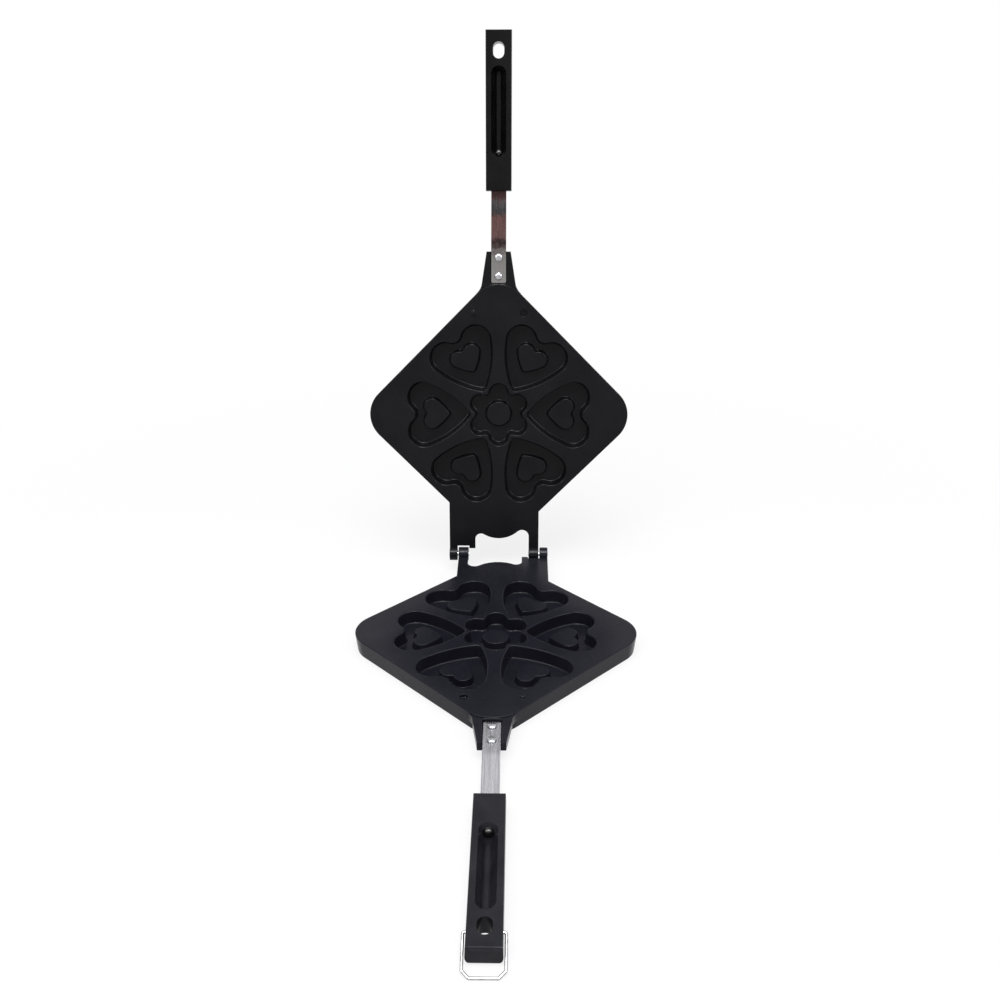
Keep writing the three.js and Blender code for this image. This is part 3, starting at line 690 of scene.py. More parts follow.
@dataclass(frozen=True)
class SlotShadeSteel:
    """Near-black steel on small fixings, with a clear gloss; its near-black colour is a painted
    reflection of the dark slot walls round the screw head.
    """

    name: str
    # The near-black colours are painted shade: they stand for the dark slot walls that the screw
    # head and washer mirror.
    dark: Colour = (0.008, 0.008, 0.009)
    light: Colour = (0.02, 0.02, 0.022)
    roughness: Span = (0.14, 0.26)
    reflection: float = 0.6
    cloud: Span = (500.0, 3.0)
    grain_depth: float = 0.00002
    grain_strength: float = 0.2

    def material(self) -> bpy.types.Material:
        """Builds the near-black steel.

        Returns:
            The material.
        """
        nodes = Nodes(self.name)
        cloud = nodes.noise(nodes.stretch(), self.cloud)
        nodes.mottle(cloud, self.dark, self.light)
        nodes.feed("Roughness", nodes.spread(cloud, self.roughness))
        nodes.bump(cloud, self.grain_depth, self.grain_strength)
        nodes.set("Specular IOR Level", self.reflection)
        return nodes.material


@dataclass(frozen=True)
class ChromedSteel:
    """Bright chrome with faint handling marks."""

    name: str
    light: Colour = (0.55, 0.55, 0.57)
    dark: Colour = (0.32, 0.32, 0.33)
    roughness: Span = (0.05, 0.14)
    marks: Span = (420.0, 5.0)
    mark_depth: float = 0.00001
    mark_strength: float = 0.2

    def material(self) -> bpy.types.Material:
        """Builds the chrome, which is darker where it is marked.

        Returns:
            The material.
        """
        nodes = Nodes(self.name)
        marks = nodes.noise(nodes.stretch(), self.marks)
        nodes.mottle(marks, self.light, self.dark)
        nodes.feed("Roughness", nodes.spread(marks, self.roughness))
        nodes.bump(marks, self.mark_depth, self.mark_strength)
        nodes.set("Metallic", 1.0)
        return nodes.material


# Placing


@dataclass(frozen=True)
class Hinge:
    """The hinge axis in the frame and the angle between the mating faces."""

    reach: float
    height: float
    opening: float = math.radians(101.5)

    @classmethod
    def from_frame(cls) -> "Hinge":
        """Reads the axis from the middle of a hinge pin."""
        low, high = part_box("hinge_pin_right")
        return cls((low.y + high.y) / 2, (low.z + high.z) / 2)

    def place(self, half: Half) -> Matrix:
        """The matrix from a half's drawing to the frame.

        Args:
            half: Which half.

        Returns:
            A matrix that also turns millimetres into metres.
        """
        turn = Matrix.Rotation(math.pi, 4, "Z")
        if half is Half.UPPER:
            turn = turn @ Matrix.Rotation(self.opening, 4, "X") @ Matrix.Rotation(math.pi, 4, "Y")
        shift = Matrix.Translation((0.0, self.reach, self.height))
        return shift @ turn @ Matrix.Scale(MM, 4)


def dress(piece: bpy.types.Object, material: bpy.types.Material) -> None:
    """Gives a piece its only material."""
    piece.data.materials.clear()
    piece.data.materials.append(material)


def mounted(
    piece: bpy.types.Object, material: bpy.types.Material, body: str, node: str
) -> bpy.types.Object:
    """Dresses a piece, puts it on its body and lets it stand for a CAD node.

    Args:
        piece: The new piece.
        material: Its material.
        body: The body that it rides on.
        node: The node that it replaces.

    Returns:
        The same piece.
    """
    dress(piece, material)
    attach(piece, body)
    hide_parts(node)
    LOG.info("%s: %d faces on %s", piece.name, len(piece.data.polygons), body)
    return piece


# Casting


@dataclass(frozen=True)
class HeartForm:
    """A heart made of four kinds of arc, its tip towards the plate's middle."""

    lobe_offset: float
    lobe_reach: float
    lobe_radius: float
    notch_radius: float
    tip_reach: float
    tip_radius: float
    side_radius: float
    tip_steps: int = 5
    side_steps: int = 8
    lobe_steps: int = 18
    notch_steps: int = 5

    def outline(self, grow: float, fineness: int = 1) -> Outline:
        """The closed outline, grown outwards.

        Args:
            grow: How far it grows.
            fineness: Multiplies the number of stretches.

        Returns:
            Its corners, anticlockwise from the tip.
        """
        lobe = Vector((self.lobe_offset, self.lobe_reach))
        tip = Vector((0.0, self.tip_reach))
        from_lobe = self.side_radius - self.lobe_radius
        from_tip = self.side_radius - self.tip_radius
        apart = (lobe - tip).length
        along = (apart**2 + from_tip**2 - from_lobe**2) / (2 * apart)
        across = math.sqrt(from_tip**2 - along**2)
        axis = (lobe - tip).normalized()
        side = tip + axis * along + Vector((-axis.y, axis.x)) * across
        notch_apart = self.lobe_radius + self.notch_radius
        notch = Vector((0.0, lobe.y + math.sqrt(notch_apart**2 - lobe.x**2)))
        tip_end, lobe_start = heading(tip, side), heading(lobe, side)
        lobe_end = heading(notch, lobe)
        down, lobe_back = -math.pi / 2, lobe_end - math.pi
        half = arc(tip, self.tip_radius + grow, down, tip_end, self.tip_steps * fineness)
        for centre, radius, start, end, steps in (
            (side, self.side_radius + grow, tip_end, lobe_start, self.side_steps),
            (lobe, self.lobe_radius + grow, lobe_start, lobe_end, self.lobe_steps),
            (notch, self.notch_radius - grow, lobe_back, down, self.notch_steps),
        ):
            half += arc(centre, radius, start, end, steps * fineness)[1:]
        mirrored = [Vector((-point.x, point.y)) for point in reversed(half[1:-1])]
        return half + mirrored


@dataclass(frozen=True)
class FlowerForm:
    """A ring of round petals with rounded valleys between them."""

    petals: int = 6
    reach: float = 21.6
    radius: float = 11.2
    valley_radius: float = 2.5
    petal_steps: int = 14
    valley_steps: int = 6

    def outline(self, grow: float) -> Outline:
        """The closed outline, grown outwards.

        Args:
            grow: How far it grows.

        Returns:
            Its corners, anticlockwise.
        """
        half_pitch = math.pi / self.petals
        apart = self.radius + self.valley_radius
        aside = self.reach * math.sin(half_pitch)
        valley_reach = self.reach * math.cos(half_pitch) + math.sqrt(apart**2 - aside**2)
        points: Outline = []
        for petal in range(self.petals):
            turn = half_pitch * (2 * petal + 1)
            centre = self.reach * Vector((math.cos(turn), math.sin(turn)))
            valley_turn = turn + half_pitch
            valley = valley_reach * Vector((math.cos(valley_turn), math.sin(valley_turn)))
            half_petal = (valley - centre).angle(centre)
            start = turn + half_petal + math.pi
            end = 2 * (valley_turn + math.pi) - start
            rim = self.radius + grow
            points += arc(centre, rim, turn - half_petal, turn + half_petal, self.petal_steps)
            points += arc(valley, self.valley_radius - grow, start, end, self.valley_steps)[1:-1]
        return points


@dataclass
class Casting:
    """One half's casting: plate, moulds, hinge lug, neck and locators."""

    half: Half
    hinge: Hinge
    finish: CoatedCasting

    side: float = 201.49
    corner_radius: float = 30.0
    middle: float = 146.63
    face: float = -0.15
    underside: float = -17.8
    edge_rounding: float = 0.8
    draft: float = 1.6
    rim_width: float = 1.6
    rim_rounding: float = 1.0
    rim_chamfer: float = 0.3
    skin: float = 3.6
    coring_draft: float = 1.2
    roof_fillet: float = 1.4
    back_rounding: float = 1.2

    heart: HeartForm = HeartForm(17.5, 76.04, 16.9, 7.0, 33.54, 6.0, 100.0)
    island: HeartForm = HeartForm(7.6, 67.84, 8.0, 4.0, 52.64, 2.6, 60.0)
    flower: FlowerForm = FlowerForm()
    hearts: int = 6
    flower_island_radius: float = 12.2
    flower_island_steps: int = 48
    mould_depth: float = 12.4
    mouth_rounding: float = 1.1
    mould_draft: float = 2.3
    floor_fillet: float = 1.5
    floor_thickness: float = 3.2
    mould_wall: float = 2.8
    island_depth: float = 5.9
    island_draft: float = 1.1
    island_rounding: float = 0.8
    foot_fillet: float = 0.7

    locator_offset: float = 24.8
    locator_reach: float = 248.65
    peg_radius: float = 2.6
    peg_height: float = 2.2
    peg_rounding: float = 0.9
    peg_fillet: float = 0.5
    peg_root: float = 1.5
    peg_steps: int = 32
    socket_radius: float = 3.5
    socket_depth: float = 3.0
    socket_rounding: float = 0.4
    socket_steps: int = 28

    knuckle_radius: float = 6.9
    knuckle_rounding: float = 0.7
    knuckle_steps: int = 56
    inner_knuckle: Span = (31.2, 41.4)
    outer_knuckle: Span = (42.6, 50.8)
    stub: Span = (24.1, 30.5)
    stub_reach: float = 5.6
    notch_reach: float = 8.4
    arm_scallop: float = 6.9
    stub_scallop: float = 5.8
    bore_radius: float = 2.5
    bore_chamfer: float = 0.4

    neck_reach: float = 307.66
    neck_end: float = 11.8
    neck_root: float = 16.8
    neck_root_reach: float = 275.66
    neck_fillet: float = 4.6
    neck_top: float = -1.3
    neck_underside: float = -9.5
    neck_rounding: float = 0.6
    neck_under_rounding: float = 0.8
    neck_under_ease: float = 0.25
    neck_overlap: float = 3.0
    channel_half: float = 8.1
    channel_start: float = 276.86
    channel_floor: float = -5.8
    channel_corner: float = 1.6

    corner_steps: int = 16
    lug_corner_steps: int = 14
    covered_steps: int = 4
    scallop_steps: int = 10
    back_steps: int = 34
    bridge_steps: int = 6
    neck_fillet_steps: int = 8
    neck_end_steps: int = 12

    # Outlines

    def corner_offset(self) -> float:
        """Distance from the plate's middle to a corner arc's centre."""
        return self.side / math.sqrt(2) - self.corner_radius * math.sqrt(2)

    def lug_corner(self) -> Vector:
        """Centre of the plate's corner at the lug."""
        return Vector((0.0, self.middle - self.corner_offset()))

    def plate(self, depth: float) -> Outline:
        """The plate's outline drawn in, with the arc at the lug split in three.

        Args:
            depth: How far it is drawn in.

        Returns:
            Its corners, anticlockwise.
        """
        radius, bottom = self.corner_radius - depth, self.lug_corner()
        points = self.plate_front(depth)
        left, right = self.scallop_turns()
        quarter = math.pi / 4
        points += arc(bottom, radius, 5 * quarter, left, self.covered_steps)
        points += arc(bottom, radius, left, right, self.lug_corner_steps)[1:]
        points += arc(bottom, radius, right, 7 * quarter, self.covered_steps)[1:]
        return points

    def plate_front(self, depth: float) -> Outline:
        """The plate's outline from the lug's right side round to its left side.

        Args:
            depth: How far it is drawn in.

        Returns:
            Its corners, anticlockwise.
        """
        offset, radius = self.corner_offset(), self.corner_radius - depth
        reach = self.side / math.sqrt(2) - depth * math.sqrt(2)
        right, left = self.inner_knuckle[1] - depth, self.outer_knuckle[1] - depth
        points = [Vector((right, self.middle + right - reach))]
        for corner in range(3):
            turn = corner * math.pi / 2
            centre = Vector((offset * math.cos(turn), self.middle + offset * math.sin(turn)))
            start, end = turn - math.pi / 4, turn + math.pi / 4
            points += arc(centre, radius, start, end, self.corner_steps)
        return points + [Vector((-left, self.middle + left - reach))]

    def scallop_centre(self, edge: float, radius: float) -> Vector:
        """Centre of the scallop beside the lug's right or left edge.

        Args:
            edge: Place of the lug's edge on X.
            radius: The scallop's radius.

        Returns:
            The centre.
        """
        x = edge - math.copysign(radius, edge)
        apart = self.corner_radius + radius
        return Vector((x, self.middle - self.corner_offset() - math.sqrt(apart**2 - x**2)))

    def scallop_turns(self) -> tuple[float, float]:
        """The angles on the plate's corner where the two scallops touch it.

        Returns:
            The left angle and the right angle.
        """
        bottom = self.lug_corner()
        left = self.scallop_centre(-self.stub[0], self.stub_scallop)
        right = self.scallop_centre(self.inner_knuckle[0], self.arm_scallop)
        return heading(left, bottom) + 2 * math.pi, heading(right, bottom) + 2 * math.pi

    def lug_left(self, depth: float) -> Outline:
        """The lug's outline from its left side to the left scallop's end.

        Args:
            depth: How far it is drawn in.

        Returns:
            Its corners in order.
        """
        corners = [
            (-self.outer_knuckle[1] + depth, 0.0),
            (-self.outer_knuckle[0] - depth, 0.0),
            (-self.outer_knuckle[0] - depth, self.notch_reach + depth),
            (-self.stub[1] + depth, self.notch_reach + depth),
            (-self.stub[1] + depth, self.stub_reach + depth),
            (-self.stub[0] - depth, self.stub_reach + depth),
        ]
        centre = self.scallop_centre(-self.stub[0], self.stub_scallop)
        end = self.scallop_turns()[0] - math.pi
        points = [Vector(corner) for corner in corners]
        return points + arc(centre, self.stub_scallop + depth, math.pi, end, self.scallop_steps)

    def lug_right(self, depth: float) -> Outline:
        """The lug's outline from the right scallop's start to its right side.

        Args:
            depth: How far it is drawn in.

        Returns:
            Its corners in order.
        """
        centre = self.scallop_centre(self.inner_knuckle[0], self.arm_scallop)
        start = self.scallop_turns()[1] - math.pi
        corners = [
            (self.inner_knuckle[0] + depth, 0.0),
            (self.inner_knuckle[1] - depth, 0.0),
        ]
        scallop = arc(centre, self.arm_scallop + depth, start, 0.0, self.scallop_steps)
        return scallop + [Vector(corner) for corner in corners]

    def silhouette(self, depth: float) -> Outline:
        """Plate and lug in one outline, drawn in by a depth.

        Args:
            depth: How far it is drawn in.

        Returns:
            Its corners, anticlockwise.
        """
        radius, turns = self.corner_radius - depth, self.scallop_turns()
        between = arc(self.lug_corner(), radius, *turns, self.lug_corner_steps)[1:-1]
        return self.plate_front(depth) + self.lug_left(depth) + between + self.lug_right(depth)

    def heart_turn(self, index: int) -> float:
        """How far a heart is turned from the neck's direction."""
        return 2 * math.pi * index / self.hearts - math.pi / 2

    def on_plate(self, outline: Outline, turn: float = 0.0) -> Outline:
        """Turns a mould's outline about the origin and moves it to its place."""
        return turned(outline, turn, Vector((0.0, self.middle)))

    def backs(self, grow: float) -> Outline:
        """The joined backs of the moulds: six hearts about a round hub.

        Args:
            grow: How far it grows.

        Returns:
            Its corners, anticlockwise.
        """
        hub = self.flower.reach + self.flower.radius + grow
        heart = self.heart.outline(grow, 2)
        half = heart[: len(heart) // 2 + 1]
        first = next(i for i, point in enumerate(half) if point.length > hub)
        inner, outer = half[first - 1], half[first]
        share = (hub - inner.length) / (outer.length - inner.length)
        run = [inner.lerp(outer, share), *half[first:]]
        right = resampled(run, self.back_steps)
        run = right + [Vector((-point.x, point.y)) for point in reversed(right[:-1])]
        spread = math.atan2(right[0].x, right[0].y)
        pitch = 2 * math.pi / self.hearts
        start, end = math.pi / 2 + spread, math.pi / 2 + pitch - spread
        bridge = arc(Vector((0.0, 0.0)), hub, start, end, self.bridge_steps)[1:-1]
        points: Outline = []
        for index in range(self.hearts):
            points += self.on_plate(run + bridge, self.heart_turn(index))
        return points

    def neck(self) -> tuple[Outline, Outline, Outline]:
        """The neck in plan.

        Returns:
            The right half's outside, the channel and the inner end.
        """
        edge = self.middle + self.side / math.sqrt(2)
        taper = (self.neck_root - self.neck_end) / (self.neck_reach - self.neck_root_reach)
        x = (self.neck_root + taper * (self.neck_root_reach - edge)) / (1 - taper)
        root = Vector((x, edge - x))
        far = Vector((x + self.neck_fillet, root.y - self.neck_fillet))
        near = Vector((x - taper * self.neck_fillet, root.y + self.neck_fillet))
        fillet = []
        for step in range(self.neck_fillet_steps + 1):
            share = step / self.neck_fillet_steps
            fillet.append(far.lerp(root, share).lerp(root.lerp(near, share), share))
        inward = Vector((-1.0, -1.0)).normalized() * self.neck_overlap
        right = [far + inward, *fillet, Vector((self.neck_end, self.neck_reach))]
        half, start, corner = self.channel_half, self.channel_start, self.channel_corner
        down = -math.pi / 2
        channel = [
            Vector((half, self.neck_reach)),
            *arc(Vector((half - corner, start + corner)), corner, 0.0, down, FINE_STEPS),
            *arc(Vector((corner - half, start + corner)), corner, down, -math.pi, FINE_STEPS),
            Vector((-half, self.neck_reach)),
        ]
        centre = Vector((0.0, self.middle + self.corner_offset()))
        radius = self.corner_radius - self.neck_overlap
        spread = math.acos(min((far + inward - centre).x / radius, 1.0))
        end = arc(centre, radius, math.pi - spread, spread, self.neck_end_steps)[1:-1]
        return right, channel, end

    # Sheets

    def mould(self, sheet: Sheet, form_at: OutlineAt, island_at: OutlineAt) -> Edges:
        """One hollow with the small form that stands in it.

        Args:
            sheet: Where it is built.
            form_at: The hollow's outline for an amount of growth.
            island_at: The small form's outline for an amount of growth.

        Returns:
            The ring at the mouth.
        """
        floor = self.face - self.mould_depth
        fillet, top = self.floor_fillet, self.face - self.island_depth
        rounding = outside_round(self.mouth_rounding, FINE_STEPS)
        profile = [(-go, self.face - drop) for go, drop in rounding]
        corner = inside_round(fillet, FINE_STEPS)
        profile += [(-self.mould_draft - go, floor + left) for go, left in corner]
        mouth, bottom = sheet.loft(form_at, profile)
        base, blend = self.island_draft, self.foot_fillet
        foot = [(base + left, floor + go) for go, left in inside_round(blend, COARSE_STEPS)]
        rounding = outside_round(self.island_rounding)
        crown = [(-self.island_rounding + go, top - drop) for go, drop in rounding]
        rim, cap = sheet.loft(island_at, foot + crown[::-1])
        sheet.fill(bottom, rim)
        sheet.fill(cap)
        return mouth

    def top(self, sheet: Sheet) -> Edges:
        """The mating face with its moulds and socket, and the rounded edge.

        Args:
            sheet: Where it is built.

        Returns:
            The silhouette's ring at the underside of the lug.
        """
        rings = []
        for turn in map(self.heart_turn, range(self.hearts)):
            rings.append(
                self.mould(
                    sheet,
                    lambda grow, turn=turn: self.on_plate(self.heart.outline(grow), turn),
                    lambda grow, turn=turn: self.on_plate(self.island.outline(grow), turn),
                )
            )
        rings.append(
            self.mould(
                sheet,
                lambda grow: self.on_plate(self.flower.outline(grow)),
                lambda grow: self.on_plate(self.flower_island(grow)),
            )
        )
        rings.append(self.socket(sheet))
        rounding = self.edge_rounding
        profile = [(rounding - go, self.face - drop) for go, drop in outside_round(rounding)]
        profile.append((self.draft_at(-self.knuckle_radius), -self.knuckle_radius))
        rim, low = sheet.loft(self.silhouette, profile)
        sheet.fill(rim, *rings)
        return low

    def draft_at(self, height: float) -> float:
        """How far the plate's side has drawn in at a height."""
        return self.draft * (self.face - height) / (self.face - self.underside)

    def flower_island(self, grow: float) -> Outline:
        """The round form inside the flower, about the origin."""
        radius = self.flower_island_radius + grow
        return circle(Vector((0.0, 0.0)), radius, self.flower_island_steps)

    def socket(self, sheet: Sheet) -> Edges:
        """The round socket for the other plate's peg, returned as its mouth.

        Args:
            sheet: Where it is built.

        Returns:
            The ring at the mouth.
        """
        centre = Vector((self.locator_offset, self.locator_reach))
        floor, rounding = self.face - self.socket_depth, self.socket_rounding
        lip = outside_round(rounding, COARSE_STEPS)
        profile = [(rounding - go, self.face - drop) for go, drop in lip]
        profile += [(0.0, floor + rounding), (-rounding, floor)]
        mouth, bottom = sheet.loft(
            lambda grow: circle(centre, self.socket_radius + grow, self.socket_steps), profile
        )
        sheet.fill(bottom)
        return mouth

    def lug_underside(self, sheet: Sheet) -> None:
        """The two flat undersides of the lug, beside the plate's corner.

        Args:
            sheet: Where it is built.
        """
        height, depth = -self.knuckle_radius, self.draft_at(-self.knuckle_radius)
        bottom, steps = self.lug_corner(), self.covered_steps
        radius, quarter = self.corner_radius - depth, math.pi / 4
        left, right = self.scallop_turns()
        front = self.plate_front(depth)
        hidden_left = arc(bottom, radius, 5 * quarter, left, steps)[:-1]
        hidden_right = arc(bottom, radius, right, 7 * quarter, steps)[1:]
        sheet.fill(sheet.ring([front[-1], *self.lug_left(depth), *hidden_left[::-1]], height))
        sheet.fill(sheet.ring([*self.lug_right(depth), front[0], *hidden_right[::-1]], height))

    def skirt(self, sheet: Sheet) -> None:
        """The plate's lower side, its rim and the hollow underside.

        Args:
            sheet: Where it is built.
        """
        rim, depth = self.underside + self.rim_rounding, self.draft
        rounding, chamfer = outside_round(self.rim_rounding), self.rim_chamfer
        profile = [(self.draft_at(-self.knuckle_radius), -self.knuckle_radius)]
        profile += [(depth + drop, rim - go) for go, drop in rounding]
        inner = depth + self.rim_rounding + self.rim_width
        roof = self.face - self.skin
        profile += [(inner - chamfer, self.underside), (inner, self.underside + chamfer)]
        wall = inner + self.coring_draft
        profile += [(wall + go, roof - left) for go, left in inside_round(self.roof_fillet)]
        _, roof_ring = sheet.loft(self.plate, profile)
        sheet.fill(roof_ring, self.mould_backs(sheet, roof))

    def mould_backs(self, sheet: Sheet, roof: float) -> Edges:
        """The backs of the moulds, returned as their ring at the roof.

        Args:
            sheet: Where it is built.
            roof: Height of the roof.

        Returns:
            The ring at the roof.
        """
        low = self.face - self.mould_depth - self.floor_thickness
        wall, slim = self.mould_wall, self.mould_wall - self.mould_draft
        rounding = self.back_rounding
        profile = [(wall + left, roof - go) for go, left in inside_round(rounding)]
        profile += [(slim - drop, low + rounding - go) for go, drop in outside_round(rounding)]
        ring, bottom = sheet.loft(self.backs, profile)
        sheet.fill(bottom)
        return ring

    def tongue(self, sheet: Sheet) -> None:
        """The neck with its channel for the strap.

        Args:
            sheet: Where it is built.
        """
        right, channel, end = self.neck()
        left = [Vector((-point.x, point.y)) for point in reversed(right)]
        full = right + [channel[0], channel[-1]] + left + end
        horseshoe = right + channel + left + end
        rounding = self.neck_rounding
        edge = outside_round(rounding, COARSE_STEPS)
        profile = [(rounding - go, self.neck_top - drop) for go, drop in edge]
        profile.append((0.0, self.channel_floor))
        rim, _ = sheet.loft(lambda depth: inset(horseshoe, depth), profile)
        sheet.fill(rim)
        sheet.fill(sheet.ring(channel, self.channel_floor))
        base, rounding, ease = self.neck_underside, self.neck_under_rounding, self.neck_under_ease
        profile = [(0.0, self.channel_floor), (0.0, base + rounding)]
        profile += [(ease, base + ease), (rounding, base)]
        _, bottom = sheet.loft(lambda depth: inset(full, depth), profile)
        sheet.fill(bottom)

    def knuckle(self, sheet: Sheet, start: float, end: float) -> None:
        """One knuckle along X with rounded rims and a bore.

        Args:
            sheet: Where it is built.
            start: Where it starts on X.
            end: Where it ends on X.
        """
        radius, rounding = self.knuckle_radius, self.knuckle_rounding
        bore, chamfer = self.bore_radius, self.bore_chamfer
        rims = [(radius - rounding + go, drop) for go, drop in outside_round(rounding)]
        near = [(bore, chamfer), (bore + chamfer, 0.0), *rims]
        far = [(reach, end - start - travel) for reach, travel in reversed(near)]
        profile = near + far + [(bore, chamfer)]
        sheet.spin(profile, Vector((start, 0, 0)), ALONG_X, self.knuckle_steps)

    def peg(self, sheet: Sheet) -> None:
        """The locating peg with its domed top.

        Args:
            sheet: Where it is built.
        """
        radius, top = self.peg_radius, self.face + self.peg_height
        flat, root = radius - self.peg_rounding, self.face - self.peg_root
        rounding = outside_round(self.peg_rounding, FINE_STEPS)
        fillet = inside_round(self.peg_fillet, COARSE_STEPS)
        crown = [(flat + go, top - drop) for go, drop in rounding]
        foot = [(radius + left, self.face + go) for go, left in fillet]
        profile = [(0.0, top), *crown, *foot[::-1], (radius, root), (0.0, root)]
        origin = Vector((-self.locator_offset, self.locator_reach, 0.0))
        sheet.spin(profile, origin, UPWARDS, self.peg_steps)

    def build(self) -> bpy.types.Object:
        """Builds the casting and puts it on its half.

        Returns:
            The casting.
        """
        sheet = Sheet()
        self.top(sheet)
        self.lug_underside(sheet)
        self.skirt(sheet)
        self.tongue(sheet)
        self.knuckle(sheet, *self.inner_knuckle)
        self.knuckle(sheet, -self.outer_knuckle[1], -self.outer_knuckle[0])
        self.peg(sheet)
        name = self.half.value
        piece = sheet.finish(f"{name}_casting", self.hinge.place(self.half))
        material = self.finish.material()
        return mounted(piece, material, name, f"{name}_plate")


# Fixings and handle


@dataclass
class RefinedPart:
    """A welded copy of a CAD solid with its sharp edges rounded over."""

    node: str
    name: str
    rounding: float
    segments: int = 3

    def build(self) -> bpy.types.Object:
        """Copies the solid, welds it and rounds its sharp edges.

        Returns:
            The piece.
        """
        mesh = bmesh.new()
        mesh.from_mesh(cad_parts[self.node].data)
        bmesh.ops.remove_doubles(mesh, verts=mesh.verts[:], dist=COPY_WELD)
        bmesh.ops.dissolve_limit(
            mesh,
            angle_limit=FLAT,
            use_dissolve_boundaries=False,
            verts=mesh.verts[:],
            edges=mesh.edges[:],
            delimit=set(),
        )
        sharp = [edge for edge in mesh.edges if edge.calc_face_angle(0.0) > SHARP]
        bmesh.ops.bevel(
            mesh,
            geom=sharp,
            offset=self.rounding * MM,
            offset_type="OFFSET",
            affect="EDGES",
            segments=self.segments,
            profile=0.5,
            material=-1,
            clamp_overlap=True,
        )
        bmesh.ops.triangulate(mesh, faces=[face for face in mesh.faces if len(face.verts) > 4])
        bmesh.ops.recalc_face_normals(mesh, faces=mesh.faces[:])
        return made_object(self.name, mesh)


@dataclass
class StrapFixing:
    """The steel strap and its two rivets."""

    half: Half
    hinge: Hinge
    finish: RolledSteel | HeatTintedSteel
    rivet_finish: RolledSteel
    rivet_reaches: Span = (283.96, 301.96)
    shank_radius: float = 2.0
    head_radius: float = 3.8
    head_height: float = 1.9
    head_seat: float = -3.2
    clinch_radius: float = 3.4
    clinch_height: float = 1.5
    clinch_seat: float = -9.8
    rim_inset: float = 0.15
    rim_height: float = 0.25
    dome_height_power: float = 0.8
    dome_radius_power: float = 0.75
    dome_steps: int = 8
    rivet_steps: int = 40
    strap_rounding: float = 0.3

    def dome(self, radius: float, height: float, seat: float, rise: int) -> Profile:
        """A flattened dome's profile from its rim to the axis.

        Args:
            radius: Its radius.
            height: Its full height.
            seat: Height of the face that it seats on.
            rise: 1 where it rises from the seat, -1 where it hangs.

        Returns:
            Pairs of radius and height.
        """
        rim = self.rim_height
        points = [(radius - self.rim_inset, seat), (radius, seat + rise * rim)]
        for step in range(1, self.dome_steps + 1):
            turn = math.pi / 2 * step / self.dome_steps
            level = rim + (height - rim) * math.sin(turn) ** self.dome_height_power
            reach = radius * math.cos(turn) ** self.dome_radius_power
            points.append((reach, seat + rise * level))
        return [*points[:-1], (0.0, points[-1][1])]

    def rivet(self, label: str, reach: float) -> bpy.types.Object:
        """One rivet with a domed head above and a clinched head below.

        Args:
            label: Which rivet.
            reach: Its distance from the hinge axis.

        Returns:
            The rivet.
        """
        head = self.dome(self.head_radius, self.head_height, self.head_seat, 1)
        clinch = self.dome(self.clinch_radius, self.clinch_height, self.clinch_seat, -1)
        shank = [(self.shank_radius, self.clinch_seat), (self.shank_radius, self.head_seat)]
        profile, origin = [*clinch[::-1], *shank, *head], Vector((0.0, reach, 0.0))
        name, place = f"{self.half.value}_rivet_head_{label}", self.hinge.place(self.half)
        return lathed(name, profile, origin, UPWARDS, self.rivet_steps, place)

    def build(self) -> list[bpy.types.Object]:
        """Builds the strap and the rivets.

        Returns:
            The strap and the rivets.
        """
        name, steel = self.half.value, self.rivet_finish.material()
        strap = RefinedPart(f"{name}_strap", f"{name}_strap_band", self.strap_rounding).build()
        pieces = [mounted(strap, self.finish.material(), name, f"{name}_strap")]
        for label, reach in zip(("inner", "outer"), self.rivet_reaches):
            rivet = self.rivet(label, reach)
            pieces.append(mounted(rivet, steel, name, f"{name}_rivet_{label}"))
        return pieces


